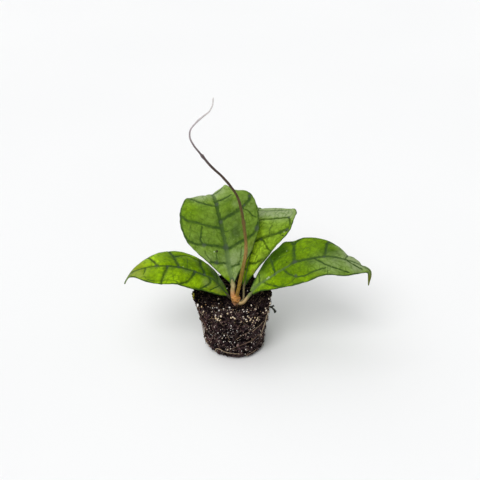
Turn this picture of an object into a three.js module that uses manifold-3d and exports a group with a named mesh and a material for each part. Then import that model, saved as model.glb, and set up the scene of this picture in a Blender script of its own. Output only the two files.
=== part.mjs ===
// Hoya callistophylla starter plant: a rooted cutting with four leaves and one long bare runner,
// standing in the tapered plug of potting mix that it was grown in.
// Units are millimetres and +Z is up. The origin is the centre of the plug's flat foot, on the surface that it
// stands on. +X is to the right and +Y away from somebody who faces the two upright leaves.
import * as THREE from "three";
import { mergeVertices } from "three/addons/utils/BufferGeometryUtils.js";
import Module from "manifold-3d";

const wasm = await Module();
wasm.setup();

// Driving dimensions
const PLUG_HEIGHT = 38;
const PLUG_LEAN = -2.2; // how far to the right of the foot's centre the rim's one stands
const SOIL_DIP = 4; // the soil round the stem lies this far below the rim
const FOOT_FLAT_RADIUS = 13.5;
const LUMP_HEIGHT = 0.45; // how far the plug's side swells and dips
const CRUMB_COUNT = 125;
const STEM_AXIS = [-0.2, -6]; // where the stem stands in the plug
const STEM_FOOT = 15; // the buried end of the stem
const JOINT_GAP = 0.3; // clearance where two pieces meet
const BLADE_THICKNESS = 0.9;
const MARGIN_THICKNESS = 0.65;
const KEEL_DEPTH = 0.9; // how far the midrib stands out under a blade, next to the petiole
const PANEL_PUFF = 0.45; // how far the panels between the side veins rise
const MIDRIB_DEPTH = 0.25;
const RUNNER_RADII = [1.05, 0.36];
const NODE_SWELLING = 0.35; // added to the runner's radius where a leaf pair would grow

// The outline of the plug from the middle of its foot up to the soil round the stem, as [radius, height].
const PLUG_PROFILE = [
  [0, 0], [FOOT_FLAT_RADIUS, 0], [16.8, 0.7], [18.4, 2.4], [19, 5.5], [19.9, 11], [21, 17], [22, 23],
  [22.9, 28], [23.9, 33], [24.9, 36], [25.1, 37.3], [24.3, PLUG_HEIGHT], [21.5, 37.5], [17.5, 36.6],
  [12, 35.2], [6, 34.3], [0, PLUG_HEIGHT - SOIL_DIP],
];
const RIM = 12; // the profile's highest point

// Roots that show on the plug's side, as [angle from the front in degrees, height].
const ROOTS = [
  [[-30, 5], [-18, 8], [-5, 7], [5, 4], [14, 5]],
  [[-8, 9], [6, 13], [15, 14.6], [28, 15.4], [47, 19.4], [60, 25]],
  [[-77, 21], [-68, 14], [-58, 8]],
  [[60, 30], [66, 22], [63, 13]],
  [[100, 9], [118, 14], [138, 12]],
  [[150, 31], [163, 23], [182, 16], [204, 14]],
  [[-122, 27], [-134, 18], [-128, 8]],
];

// Shares of a blade's length at which its half widths are given.
const STATIONS = [0, 0.05, 0.12, 0.2, 0.3, 0.4, 0.5, 0.6, 0.7, 0.8, 0.88, 0.94, 1];

// The four blades. Each midrib runs from the petiole to the tip. face is the way the upper side looks at the
// petiole, in the middle and at the tip. Left and right are as seen from above with the tip ahead. Each half has
// its widths at the stations, the angle at which it rises from the midrib at the petiole, in the middle and at the
// tip, how fast it curls down, where its side veins leave the midrib and how far they sweep towards the tip on the
// way to the margin. A wave is [height, waves along the blade, where the first one starts]. A swell, which is a
// puffed panel, is [along, across, height, radius].
const LEAVES = {
  left: {
    midrib: [
      [-5.2, -4.2, 39.6], [-12, -1, 47], [-22, 1, 52], [-36, 0.5, 57], [-50, -1.5, 59], [-62, -3.5, 57],
      [-67, -4.5, 53.5], [-69.8, -5, 48.5],
    ],
    face: [[0.3, -0.55, 0.8], [0, -0.1, 1], [-0.5, -0.1, 0.85]],
    leftHalf: {
      widths: [1.1, 5.5, 9, 11, 13.5, 15.5, 16.5, 17, 15.5, 11.5, 6.5, 2, 0.3],
      rise: [0.15, 0.05, 0], curl: 0.012, veins: [0.19, 0.34, 0.57, 0.76], sweep: 0.08,
    },
    rightHalf: {
      widths: [1.1, 3, 5.3, 8.5, 12.5, 16.5, 17.8, 15.5, 11.5, 6.2, 2.4, 1, 0.3],
      rise: [-0.4, 0, 0], curl: 0.012, veins: [0.12, 0.27, 0.51, 0.67, 0.82], sweep: 0.05,
    },
    wave: [0.3, 2.5, 0.2],
    swells: [],
    petiole: [[-0.8, -6.2, 36], [-2.6, -5.8, 37.6]],
  },
  right: {
    midrib: [
      [10, -5, 42], [14, -4, 46.5], [21, -3, 51.5], [31.5, -2, 58.5], [44, -2, 64], [56, -3, 67],
      [68, -5, 66], [79, -6, 61.5], [83.4, -6.4, 58.5], [83.2, -7, 48.5],
    ],
    face: [[-0.4, -0.5, 0.8], [0, -0.25, 1], [0.6, -0.1, 0.8]],
    leftHalf: {
      widths: [1.1, 3.4, 7, 10.8, 16.8, 17.9, 18, 15.5, 10.5, 5.5, 1.4, 0.9, 0.3],
      rise: [0.45, 0, -0.6], curl: 0.01, veins: [0.08, 0.2, 0.35, 0.56, 0.74], sweep: 0.04,
    },
    rightHalf: {
      widths: [1.1, 4, 7, 10.7, 14.5, 16, 16, 15, 13, 7.5, 2.2, 0.9, 0.3],
      rise: [0.2, 0.05, -0.2], curl: 0.014, veins: [0.12, 0.28, 0.5, 0.66], sweep: 0.14,
    },
    wave: [0.5, 3, 0.1],
    swells: [[0.37, -1, -0.8, 3.5]],
    petiole: [[1, -6.6, 35.4], [3.4, -7.3, 35.2], [5.3, -7.4, 35.6], [7.5, -6.6, 37.7]],
  },
  centre: {
    midrib: [
      [-2.3, -3, 47.5], [-4.3, 2, 56], [-6, 6, 67.5], [-9, 12, 79.5], [-11.5, 19, 87.5], [-13.5, 27, 91],
      [-15, 36, 90.5], [-16, 44, 86],
    ],
    face: [[0, -0.9, 0.45], [0, -0.8, 0.6], [0, -0.1, 1]],
    leftHalf: {
      widths: [1.2, 3.5, 6.8, 11.5, 17, 21.5, 24.2, 24.5, 22.7, 18.5, 10.5, 3.5, 0.3],
      rise: [0.2, 0.1, -0.05], curl: 0.01, veins: [0.17, 0.3, 0.475, 0.67, 0.82], sweep: 0.12,
    },
    rightHalf: {
      widths: [1.2, 4, 8, 12.8, 18, 22.6, 24.6, 24.8, 23.5, 19, 10.5, 3.5, 0.3],
      rise: [0.2, 0.1, 0.25], curl: 0.013, veins: [0.12, 0.29, 0.54, 0.715, 0.86], sweep: 0.1,
    },
    wave: [0.4, 2, 0.3],
    swells: [[0.7, 0.25, 3.2, 6.5]],
    petiole: [[-1.2, -5.8, 37], [-1.9, -5.4, 40], [-2.1, -4.6, 43.5]],
  },
  back: {
    midrib: [
      [5.3, 3, 42.5], [7, 7, 51], [9.5, 13, 61.5], [12, 20, 71.3], [14, 27, 76], [16, 35, 77.3],
      [18, 44, 75.3], [19, 52, 70],
    ],
    face: [[0, -0.9, 0.45], [0, -0.75, 0.65], [0, 0, 1]],
    leftHalf: {
      widths: [1.1, 3, 6, 9.5, 14, 18, 20.5, 21, 19, 14, 7.5, 2.5, 0.3],
      rise: [0.2, 0.1, 0], curl: 0.008, veins: [0.14, 0.3, 0.48, 0.66, 0.82], sweep: 0.1,
    },
    rightHalf: {
      widths: [1.1, 2.6, 5, 7.8, 12.2, 16.2, 20.2, 22.4, 22.8, 21.5, 12, 3.5, 0.3],
      rise: [0.2, 0.2, 0.2], curl: 0.005, veins: [0.19, 0.4, 0.61, 0.78], sweep: 0.1,
    },
    wave: [0.3, 2, 0.6],
    swells: [],
    petiole: [[0.8, -5.4, 36.6], [2.8, -4, 36.9], [4.4, -1.8, 37.6], [5, 1, 39.6]],
  },
};

// The radius of each petiole next to the stem and next to the blade.
const PETIOLE_RADII = { left: [1.2, 1.05], right: [1.15, 1.05], centre: [1.35, 1.15], back: [0.75, 0.95] };

const RUNNER_PATH = [
  [0.4, -6.2, 36], [1.2, -6.5, 42], [1.7, -6.7, 47], [3, -7, 55], [4.8, -8, 64], [6.1, -9, 73],
  [6.1, -10, 82], [5.2, -10, 91], [3.6, -10, 103], [0.7, -10, 113], [-4, -10, 119.5], [-9, -11, 127],
  [-14.2, -12, 134], [-19.8, -12, 141.5], [-24, -13, 148], [-26, -14, 153.5], [-25.6, -14, 158],
  [-22.5, -13, 162], [-18.2, -12, 165.7], [-15, -11, 168], [-12.9, -10, 172], [-12.5, -9, 176],
];
const RUNNER_NODES = [0.385, 0.735]; // shares of the runner's length

// Materials
const MATERIALS = {
  blade: { color: 0x6f9618, roughness: 0.45 },
  petiole: { color: 0x8f7a4a, roughness: 0.6 },
  stem: { color: 0x8a5a34, roughness: 0.75 },
  runner: { color: 0x6b4a35, roughness: 0.6 },
  soil: { color: 0x3a2c27, roughness: 0.95 },
};

const mix = (a, b, share) => a + (b - a) * share;
const vector = (p) => new THREE.Vector3(...p);
const curveThrough = (points) => new THREE.CatmullRomCurve3(points.map(vector), false, "centripetal");

// A seeded random number from 0 to 1, so that every run gives the same plant.
function seeded(seed) {
  let state = seed >>> 0;
  return () => {
    state = (state + 0x6d2b79f5) >>> 0;
    let t = Math.imul(state ^ (state >>> 15), state | 1);
    t ^= t + Math.imul(t ^ (t >>> 7), t | 61);
    return ((t ^ (t >>> 14)) >>> 0) / 4294967296;
  };
}

// The solid of a closed geometry, and the geometry of a solid.
function solidOf(geometry) {
  const bare = geometry.clone();
  for (const name of Object.keys(bare.attributes)) if (name !== "position") bare.deleteAttribute(name);
  const merged = mergeVertices(bare, 1e-4);
  return new wasm.Manifold(
    new wasm.Mesh({
      numProp: 3,
      vertProperties: new Float32Array(merged.attributes.position.array),
      triVerts: new Uint32Array(merged.index.array),
    }),
  );
}

function geometryOf(solid) {
  const mesh = solid.getMesh();
  const geometry = new THREE.BufferGeometry();
  geometry.setAttribute("position", new THREE.BufferAttribute(new Float32Array(mesh.vertProperties), 3));
  geometry.setIndex(new THREE.BufferAttribute(new Uint32Array(mesh.triVerts), 1));
  return geometry;
}

// A smooth curve through one value at each station.
function valueAt(values, along) {
  const last = STATIONS.length - 1;
  const step = (i) => (values[i + 1] - values[i]) / (STATIONS[i + 1] - STATIONS[i]);
  const slope = (i) => {
    if (i === 0) return step(0);
    if (i === last) return step(last - 1);
    const before = STATIONS[i] - STATIONS[i - 1];
    const after = STATIONS[i + 1] - STATIONS[i];
    return (step(i - 1) * after + step(i) * before) / (before + after);
  };
  let i = 0;
  while (i < last - 1 && along >= STATIONS[i + 1]) i++;
  const span = STATIONS[i + 1] - STATIONS[i];
  const t = (along - STATIONS[i]) / span;
  const start = (2 * t ** 3 - 3 * t ** 2 + 1) * values[i] + (t ** 3 - 2 * t ** 2 + t) * span * slope(i);
  return start + (3 * t ** 2 - 2 * t ** 3) * values[i + 1] + (t ** 3 - t ** 2) * span * slope(i + 1);
}

// A value given at the petiole, in the middle and at the tip.
function valueOfThree([base, middle, tip], along) {
  return along < 0.5 ? mix(base, middle, along * 2) : mix(middle, tip, along * 2 - 1);
}

const halfOf = (leaf, across) => (across < 0 ? leaf.leftHalf : leaf.rightHalf);
const reachOf = (leaf, along, across) => Math.abs(across) * valueAt(halfOf(leaf, across).widths, along);

// A place on the middle sheet of a blade, before the relief of the veins. along runs from 0 at the petiole to 1
// at the tip, and across from -1 at the left margin to 1 at the right one.
function sheetPoint(leaf, curve, along, across) {
  const place = curve.getPointAt(along);
  const tangent = curve.getTangentAt(along);
  const face = (axis) => valueOfThree(leaf.face.map((way) => way[axis]), along);
  const normal = new THREE.Vector3(face(0), face(1), face(2));
  normal.addScaledVector(tangent, -normal.dot(tangent)).normalize();
  const side = new THREE.Vector3().crossVectors(tangent, normal);
  const half = halfOf(leaf, across);
  const rise = valueOfThree(half.rise, along);
  const slope = rise - half.curl * reachOf(leaf, along, across);
  const out = (Math.sin(rise) - Math.sin(slope)) / half.curl;
  let lift = (Math.cos(slope) - Math.cos(rise)) / half.curl;
  const [height, count, start] = leaf.wave;
  const phase = count * along + start + across / 3;
  lift += height * across ** 2 * Math.sin(2 * Math.PI * phase) * Math.sin(Math.PI * along);
  for (const [at, over, swell, radius] of leaf.swells) {
    const far = Math.hypot((along - at) * curve.getLength(), (across - over) * Math.max(...half.widths));
    lift += swell * Math.exp(-((far / radius) ** 2));
  }
  return place.addScaledVector(side, Math.sign(across) * out).addScaledVector(normal, lift);
}

// The relief of a blade: the midrib and the side veins lie in shallow grooves, and the panels between them are
// puffed.
function relief(leaf, along, across) {
  const half = halfOf(leaf, across);
  const start = along - half.sweep * Math.abs(across) ** 1.4;
  const nearest = Math.min(...half.veins.map((vein) => Math.abs(start - vein)));
  const panel = Math.min(1, nearest / 0.06) * (1 - across ** 4);
  const groove = Math.exp(-((reachOf(leaf, along, across) / 1.6) ** 2));
  return PANEL_PUFF * panel * (1 - groove) - MIDRIB_DEPTH * groove;
}

// A blade: a grid bent into shape, copied for its upper and lower side and closed along its edge.
const BLADE_STEPS_ALONG = 34;
const BLADE_STEPS_ACROSS = 12;
function bladeGeometry(leaf) {
  const curve = curveThrough(leaf.midrib);
  const sheet = new THREE.PlaneGeometry(1, 1, BLADE_STEPS_ALONG, BLADE_STEPS_ACROSS);
  const columns = BLADE_STEPS_ALONG + 1;
  const rows = BLADE_STEPS_ACROSS + 1;
  const grid = sheet.attributes.position;
  const spots = Array.from({ length: grid.count }, (_, i) => {
    const along = grid.getX(i) + 0.5;
    const across = -2 * grid.getY(i);
    return { along, across, place: sheetPoint(leaf, curve, along, across) };
  });
  const normalAt = (i) => {
    const column = i % columns;
    const row = Math.floor(i / columns);
    const before = spots[row * columns + Math.max(column - 1, 0)].place;
    const after = spots[row * columns + Math.min(column + 1, columns - 1)].place;
    const left = spots[Math.max(row - 1, 0) * columns + column].place;
    const right = spots[Math.min(row + 1, rows - 1) * columns + column].place;
    const forward = new THREE.Vector3().subVectors(after, before);
    return new THREE.Vector3().subVectors(right, left).cross(forward).normalize();
  };
  const places = [];
  for (const side of [1, -1]) {
    spots.forEach(({ along, across, place }, i) => {
      let height = relief(leaf, along, across);
      height += (side * mix(BLADE_THICKNESS, MARGIN_THICKNESS, Math.abs(across) ** 3)) / 2;
      const keel = KEEL_DEPTH * (1 - along) * Math.exp(-((reachOf(leaf, along, across) / 1.5) ** 2));
      if (side < 0) height -= keel;
      places.push(...place.clone().addScaledVector(normalAt(i), height).toArray());
    });
  }
  const faces = [];
  const top = Array.from(sheet.index.array);
  for (let i = 0; i < top.length; i += 3) {
    const [a, b, c] = top.slice(i, i + 3);
    faces.push(a, b, c, a + grid.count, c + grid.count, b + grid.count);
  }
  const rim = [];
  for (let column = 0; column < columns; column++) rim.push(column);
  for (let row = 1; row < rows; row++) rim.push(row * columns + columns - 1);
  for (let column = columns - 2; column >= 0; column--) rim.push((rows - 1) * columns + column);
  for (let row = rows - 2; row > 0; row--) rim.push(row * columns);
  rim.forEach((here, i) => {
    const next = rim[(i + 1) % rim.length];
    faces.push(here, next, next + grid.count, here, next + grid.count, here + grid.count);
  });
  const geometry = new THREE.BufferGeometry();
  geometry.setAttribute("position", new THREE.Float32BufferAttribute(places, 3));
  geometry.setIndex(faces);
  return geometry;
}

// A round stem along a curve, its radius given at each share of its length.
function stemGeometry(curve, radiusAt, sides, steps) {
  const geometry = new THREE.CylinderGeometry(1, 1, 1, sides, steps);
  const frames = curve.computeFrenetFrames(steps);
  const grid = geometry.attributes.position;
  for (let i = 0; i < grid.count; i++) {
    const along = 0.5 - grid.getY(i);
    const step = Math.round(along * steps);
    const radius = radiusAt(along);
    const place = curve.getPointAt(along);
    place.addScaledVector(frames.normals[step], grid.getX(i) * radius);
    place.addScaledVector(frames.binormals[step], grid.getZ(i) * radius);
    grid.setXYZ(i, place.x, place.y, place.z);
  }
  return geometry;
}

// The woody stem that the petioles and the runner grow from, thicker by grow all round.
function crownGeometry(grow) {
  const top = 41;
  const profile = [
    [0, STEM_FOOT - grow], [1.3 + grow, STEM_FOOT + 0.6 - grow], [1.7 + grow, STEM_FOOT + 5], [2, 27],
    [2.3, 32], [2.7, 34.5], [3, 36.5], [3.1, 38.3], [2.7, 39.7], [1.6, top - 0.3], [0, top + grow],
  ].map(([radius, height], i, all) => {
    const outer = i > 2 && i < all.length - 1 ? radius + grow : radius;
    return new THREE.Vector2(outer, i > 8 && i < all.length - 1 ? height + grow : height);
  });
  const geometry = new THREE.LatheGeometry(profile, 14).rotateX(Math.PI / 2);
  const grid = geometry.attributes.position;
  for (let i = 0; i < grid.count; i++) {
    const [x, y, z] = [grid.getX(i), grid.getY(i), grid.getZ(i)];
    const turn = Math.atan2(y, x);
    const lump = 1 + 0.07 * Math.sin(3 * turn + z * 0.5) + 0.04 * Math.sin(2 * turn - z * 1.1);
    grid.setXYZ(i, STEM_AXIS[0] + x * lump, STEM_AXIS[1] + y * lump, z);
  }
  return geometry;
}

// The middle of the plug leans more the higher it is.
const plugLean = (height) => PLUG_LEAN * (height / PLUG_HEIGHT) ** 2;

// The plug's side at an angle from the front, in radians, and a height. A positive depth lies inside it.
function plugSide(turn, height, depth) {
  const next = PLUG_PROFILE.findIndex((p, i) => i > 1 && p[1] >= height);
  const [low, high] = [PLUG_PROFILE[next - 1], PLUG_PROFILE[next]];
  const smooth = mix(low[0], high[0], (height - low[1]) / (high[1] - low[1]));
  const radius = smooth - depth + plugLump(turn, height);
  return [plugLean(height) + radius * Math.sin(turn), -radius * Math.cos(turn), height];
}

// The soil's top at an angle and a distance from its middle.
function plugTop(turn, radius) {
  const next = PLUG_PROFILE.findIndex((p, i) => i > RIM && p[0] <= radius);
  const [outer, inner] = [PLUG_PROFILE[next - 1], PLUG_PROFILE[next]];
  const height = mix(inner[1], outer[1], (radius - inner[0]) / (outer[0] - inner[0]));
  return [plugLean(height) + radius * Math.sin(turn), -radius * Math.cos(turn), height];
}

// How far the plug swells out at an angle and height. Its foot stays true.
function plugLump(turn, height) {
  const broad = Math.sin(3 * turn + height * 0.21) + Math.sin(7 * turn - height * 0.33);
  const fine = Math.sin(13 * turn + height);
  return (LUMP_HEIGHT / 2) * (broad + fine) * Math.min(1, height / 6);
}

function plugGeometry() {
  const profile = PLUG_PROFILE.map(([radius, height]) => new THREE.Vector2(radius, height));
  const geometry = new THREE.LatheGeometry(profile, 48).rotateX(Math.PI / 2);
  const grid = geometry.attributes.position;
  for (let i = 0; i < grid.count; i++) {
    const [x, y, z] = [grid.getX(i), grid.getY(i), grid.getZ(i)];
    const radius = Math.hypot(x, y);
    const turn = Math.atan2(x, -y);
    const outer = radius + plugLump(turn, z) * Math.min(1, radius / 20);
    const onTop = radius < 24 && z > 30;
    const bump = onTop ? 0.4 * Math.sin(x * 0.9) * Math.cos(y * 0.8) * Math.min(1, radius / 8) : 0;
    grid.setXYZ(i, plugLean(z) + outer * Math.sin(turn), -outer * Math.cos(turn), z + bump);
  }
  return geometry;
}

// Bark chips and white perlite that stand out of the plug, most of them on its side and rim.
function crumbs() {
  const random = seeded(20);
  return Array.from({ length: CRUMB_COUNT }, (_, i) => {
    const turn = i * 2.39996 + random() * 0.6;
    const size = mix(0.9, 1.9, random() ** 2);
    const crumb = new THREE.OctahedronGeometry(size, 0);
    crumb.scale(1, mix(0.6, 1.1, random()), mix(0.5, 0.9, random()));
    crumb.rotateX(random() * 3).rotateZ(random() * 3);
    const place = i % 3 === 0
      ? plugTop(turn, mix(9, 24, Math.sqrt(random())))
      : plugSide(turn, mix(3, 37, random() ** 0.8), size * 0.3);
    return solidOf(crumb.translate(...place));
  });
}

// Roots that run over the plug's side, half sunk in it, and the dry sprig that sticks out on the right.
function roots() {
  const laid = ROOTS.map((route, i) => {
    const places = route.map(([turn, height]) => plugSide(THREE.MathUtils.degToRad(turn), height, 0.05));
    const curve = curveThrough(places);
    return stemGeometry(curve, (along) => mix(0.6, 0.4, along) + 0.08 * Math.sin(along * 20 + i), 5, 11);
  });
  const sprig = curveThrough([[19.5, 0, 29], [22.2, -0.3, 29.3], [23.6, -0.6, 28.6], [25.3, -1, 25.9]]);
  return [...laid, stemGeometry(sprig, (along) => (along > 0.8 ? 0.7 : 0.4), 6, 6)].map(solidOf);
}

const group = new THREE.Group();
function addPiece(name, geometry, material) {
  const mesh = new THREE.Mesh(geometry, new THREE.MeshStandardMaterial(MATERIALS[material]));
  mesh.name = name;
  group.add(mesh);
}

const crownClear = solidOf(crownGeometry(JOINT_GAP));
addPiece("crown_stem", crownGeometry(0), "stem");

// The runner and each petiole grow out of the crown, and stand clear of it by the joint gap. The same shapes,
// thicker by that gap, are cut from the soil where they dip into it.
let soilCutters = crownClear;
for (const [name, leaf] of Object.entries(LEAVES)) {
  const blade = curveThrough(leaf.midrib);
  const below = (depth) => blade.getPointAt(0).addScaledVector(blade.getTangentAt(0), -depth).toArray();
  const path = curveThrough([...leaf.petiole, below(1.5), below(JOINT_GAP)]);
  const [thick, thin] = PETIOLE_RADII[name];
  const petiole = (grow) => stemGeometry(path, (along) => mix(thick, thin, along) + grow, 10, 10);
  addPiece(`petiole_${name}`, geometryOf(solidOf(petiole(0)).subtract(crownClear)), "petiole");
  addPiece(`blade_${name}`, bladeGeometry(leaf), "blade");
  soilCutters = soilCutters.add(solidOf(petiole(JOINT_GAP)));
}

function runnerRadius(along) {
  const swelling = RUNNER_NODES.map((node) => NODE_SWELLING * Math.exp(-(((along - node) / 0.008) ** 2)));
  return mix(...RUNNER_RADII, along) + swelling[0] + swelling[1];
}
const runner = solidOf(stemGeometry(curveThrough(RUNNER_PATH), runnerRadius, 8, 80));
addPiece("runner", geometryOf(runner.subtract(crownClear)), "runner");

let plug = solidOf(plugGeometry());
for (const piece of [...crumbs(), ...roots()]) plug = plug.add(piece);
addPiece("soil_plug", geometryOf(plug.subtract(soilCutters)), "soil");

export default group;
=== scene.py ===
# A hoya callistophylla starter plant: four boldly veined leaves and one bare runner on a plug of potting mix.
# Shapes are worked out in millimetres, as in the solids, and turned into metres when a mesh is made.
import math
import random

import bmesh
import bpy
import numpy as np
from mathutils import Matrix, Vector, noise


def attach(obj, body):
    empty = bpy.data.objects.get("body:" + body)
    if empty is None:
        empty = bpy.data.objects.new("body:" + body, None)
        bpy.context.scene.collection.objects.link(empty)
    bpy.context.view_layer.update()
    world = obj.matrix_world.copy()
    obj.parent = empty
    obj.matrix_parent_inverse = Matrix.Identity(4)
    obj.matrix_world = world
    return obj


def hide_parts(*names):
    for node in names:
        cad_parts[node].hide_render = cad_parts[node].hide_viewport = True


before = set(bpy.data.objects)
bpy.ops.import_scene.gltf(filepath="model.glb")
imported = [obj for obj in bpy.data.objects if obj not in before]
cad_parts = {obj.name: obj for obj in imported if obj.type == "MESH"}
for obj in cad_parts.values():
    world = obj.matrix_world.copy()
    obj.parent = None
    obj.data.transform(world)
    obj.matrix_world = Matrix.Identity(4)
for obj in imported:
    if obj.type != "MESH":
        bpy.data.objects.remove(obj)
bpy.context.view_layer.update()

MM = 0.001
NOISE_SEED = 7
noise.seed_set(NOISE_SEED)  # left unset, the seed is the time of day, and the veins stray anew each run

# The blades, in millimetres.
BLADE_THICKNESS = 0.9
MARGIN_THICKNESS = 0.65
KEEL_DEPTH = 0.9  # how far the midrib stands out under a blade, next to the petiole
KEEL_WIDTH = 1.5
KEEL_START = 0.8  # over this distance from the blade's base the keel comes to its depth
PANEL_PUFF = 0.65  # how far the panels between the veins rise
PUFF_REACH = 2.2  # how far from a vein a panel gets most of its height
GROOVES = [(0.16, 0.7), (0.3, 1.2), (0.06, 0.5)]  # (depth, width) over veins, midrib and faint veins
VEIN_RIDGE = (0.25, 0.6)  # how far a vein stands out below, and its width there
BROAD_RIPPLE = 0.26
FINE_RIPPLE = 0.06
RIM_ROUNDING = 0.33  # over this distance a blade's margin is rounded off
VEIN_SLANT = 0.5  # how far the side veins go along the blade for each millimetre across
VEIN_WANDER = 0.35  # how far a vein strays from its route

# The grid of a blade: 0 to 1 along its midrib and -1 to 1 across it, closer together next to its margin.
ALONG_STEPS = 236
HALF_STEPS = 56
NEAR_ENDS = np.array([0, 0.0006, 0.0018, 0.0035])
NEAR_MARGIN = [0.925, 0.945, 0.96, 0.972, 0.982, 0.99, 0.9955, 0.999, 1]
STATIONS = [0, 0.05, 0.12, 0.2, 0.3, 0.4, 0.5, 0.6, 0.7, 0.8, 0.88, 0.94, 1]

# The blades' sheets are bent as the solids are. face is (along, x, y, z): the way the upper side looks. A
# half has its widths at the stations, its rise from the midrib at the petiole, in the middle and at the
# tip, and how fast it curls down. A wave is (height, waves along the blade, start), a swell (along, across,
# height, radius). tone is how deep the green is, bloom how pale the whole skin is, partly its own bloom and
# partly painted sheen, and brown how dry the tip. The drawn midrib is (along, across, half width,
# darkness). A vein is its half width at its start and end, then its route of (along, across) places, where
# across is negative on the left. Patches are (along, across, radius, strength), where a strength of 1 is
# left out. Deep patches are partly the leaf's own tone, partly painted shade where a blade lies in shadow
# and partly painted light, the palest lime, where it lies in another blade's shadow. Pale patches are
# painted sheen with some bloom, and flecks are pale flecks and painted glints.
LEAVES = {}
LEAVES["left"] = dict(
    midrib=[(-5.2, -4.2, 39.6), (-12, -1, 47), (-22, 1, 52), (-36, 0.5, 57), (-50, -1.5, 59),
        (-62, -3.5, 57), (-67, -4.5, 53.5), (-69.8, -5, 48.5)],
    face=[(0, 0.3, -0.55, 0.8), (0.5, 0, -0.1, 1), (1, -0.5, -0.1, 0.85)],
    left=dict(widths=[1.1, 5.5, 9, 11, 13.5, 15.5, 16.5, 17.2, 16.1, 11.6, 4.8, 0.8, 0.3],
        rise=(0.15, 0.05, 0), curl=0.012),
    right=dict(widths=[1.4, 2.7, 4.5, 8.9, 13.6, 17.8, 19.1, 16.5, 12.2, 6.6, 2, 0.6, 0.3],
        rise=(-0.4, 0.04, 0), curl=0.012),
    wave=(0.3, 2.5, 0.2), tone=-0.34, bloom_and_sheen=0.0, brown=0.0,
    swells=[],
    rib=[(0, 0, 0.7, 0.9), (0.14, 0, 0.6, 0.85), (0.22, 0, 0.8, 0.85), (0.5, 0, 0.8, 1),
        (0.8, 0, 0.65, 0.9), (1, 0, 0.35, 0.6)],
    veins=[
        (0.74, 0.58, (0.484, 0), (0.492, 0.15), (0.517, 0.52), (0.55, 0.98)),
        (0.58, 0.42, (0.517, 0.52), (0.458, 0.7), (0.403, 0.8), (0.343, 0.78), (0.31, 0.76)),
        (0.68, 0.48, (0.655, 0), (0.69, 0.4), (0.725, 0.9)),
        (0.7, 0.58, (0.262, 0), (0.27, 0.2), (0.3, 0.46), (0.318, 0.92)),
        (0.74, 0.5, (0.578, 0), (0.585, -0.13), (0.633, -0.7), (0.652, -0.97)),
        (0.7, 0.5, (0.343, 0), (0.35, -0.14), (0.408, -0.72), (0.478, -0.93)),
        (0.66, 0.5, (0.205, 0), (0.2, -0.13), (0.188, -0.4), (0.225, -0.75), (0.25, -0.92)),
        (0.35, 0.2, (0.76, 0), (0.772, -0.31), (0.785, -0.5)),
        (0.4, 0.3, (0.125, 0), (0.15, 0.4), (0.19, 0.85)),
        (0.35, 0.25, (0.1, 0), (0.12, -0.4), (0.15, -0.8)),
    ],
    faint=[
        (0.3, 0.2, (0.417, 0.52), (0.413, 0)),
        (0.35, 0.3, (0.785, -0.7), (0.743, -0.9), (0.675, -0.88), (0.598, -0.82), (0.478, -0.92)),
        (0.3, 0.2, (0.2, -0.72), (0.24, -0.86), (0.3, -0.93), (0.38, -0.93)),
    ],
    knots=[(0.67, 0.03, 1.3), (0.484, 0.02, 1), (0.343, -0.02, 1), (0.578, -0.02, 0.9), (0.262, 0.05, 1)],
    deep=[(0.2, 0.5, 7, 1.3), (0.09, 0.3, 7, 1.6), (0.35, 0.45, 6, 0.6), (0.9, 0, 6, 0.3),
        (0.53, 0.62, 5.5, 0.9), (0.64, 0.5, 7, -0.5), (0.38, 0.85, 4, -0.5), (0.33, -0.85, 7, -0.35),
        (0.54, -0.78, 6, -0.6), (0.43, -0.12, 4, 0.9), (0.3, -0.12, 4, 0.8), (0.54, -0.1, 4, 0.7),
        (0.74, 0.5, 6, -0.4), (0.18, -0.6, 4, 0.3)],
    pale=[(0.13, 0.85, 3.5, 0.3), (0.22, 0.92, 2.5, 0.6), (0.22, -0.45, 3, 0.4), (0.42, -0.14, 3, 0.15),
        (0.97, 0, 5, 0.9), (0.84, -0.7, 4, 0.2), (0.1, -0.3, 3, 0.25)],
    yellow=[(0.92, -0.2, 9, 0.45), (0.82, 0.85, 7, 0.4), (0.83, -0.8, 6, 0.35), (0.08, -0.7, 5, 0.4),
        (0.2, -0.6, 4, 0.35)],
    flecks_and_glints=[(0.448, 0.06, 0.5)],
    scars=[],
)
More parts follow.
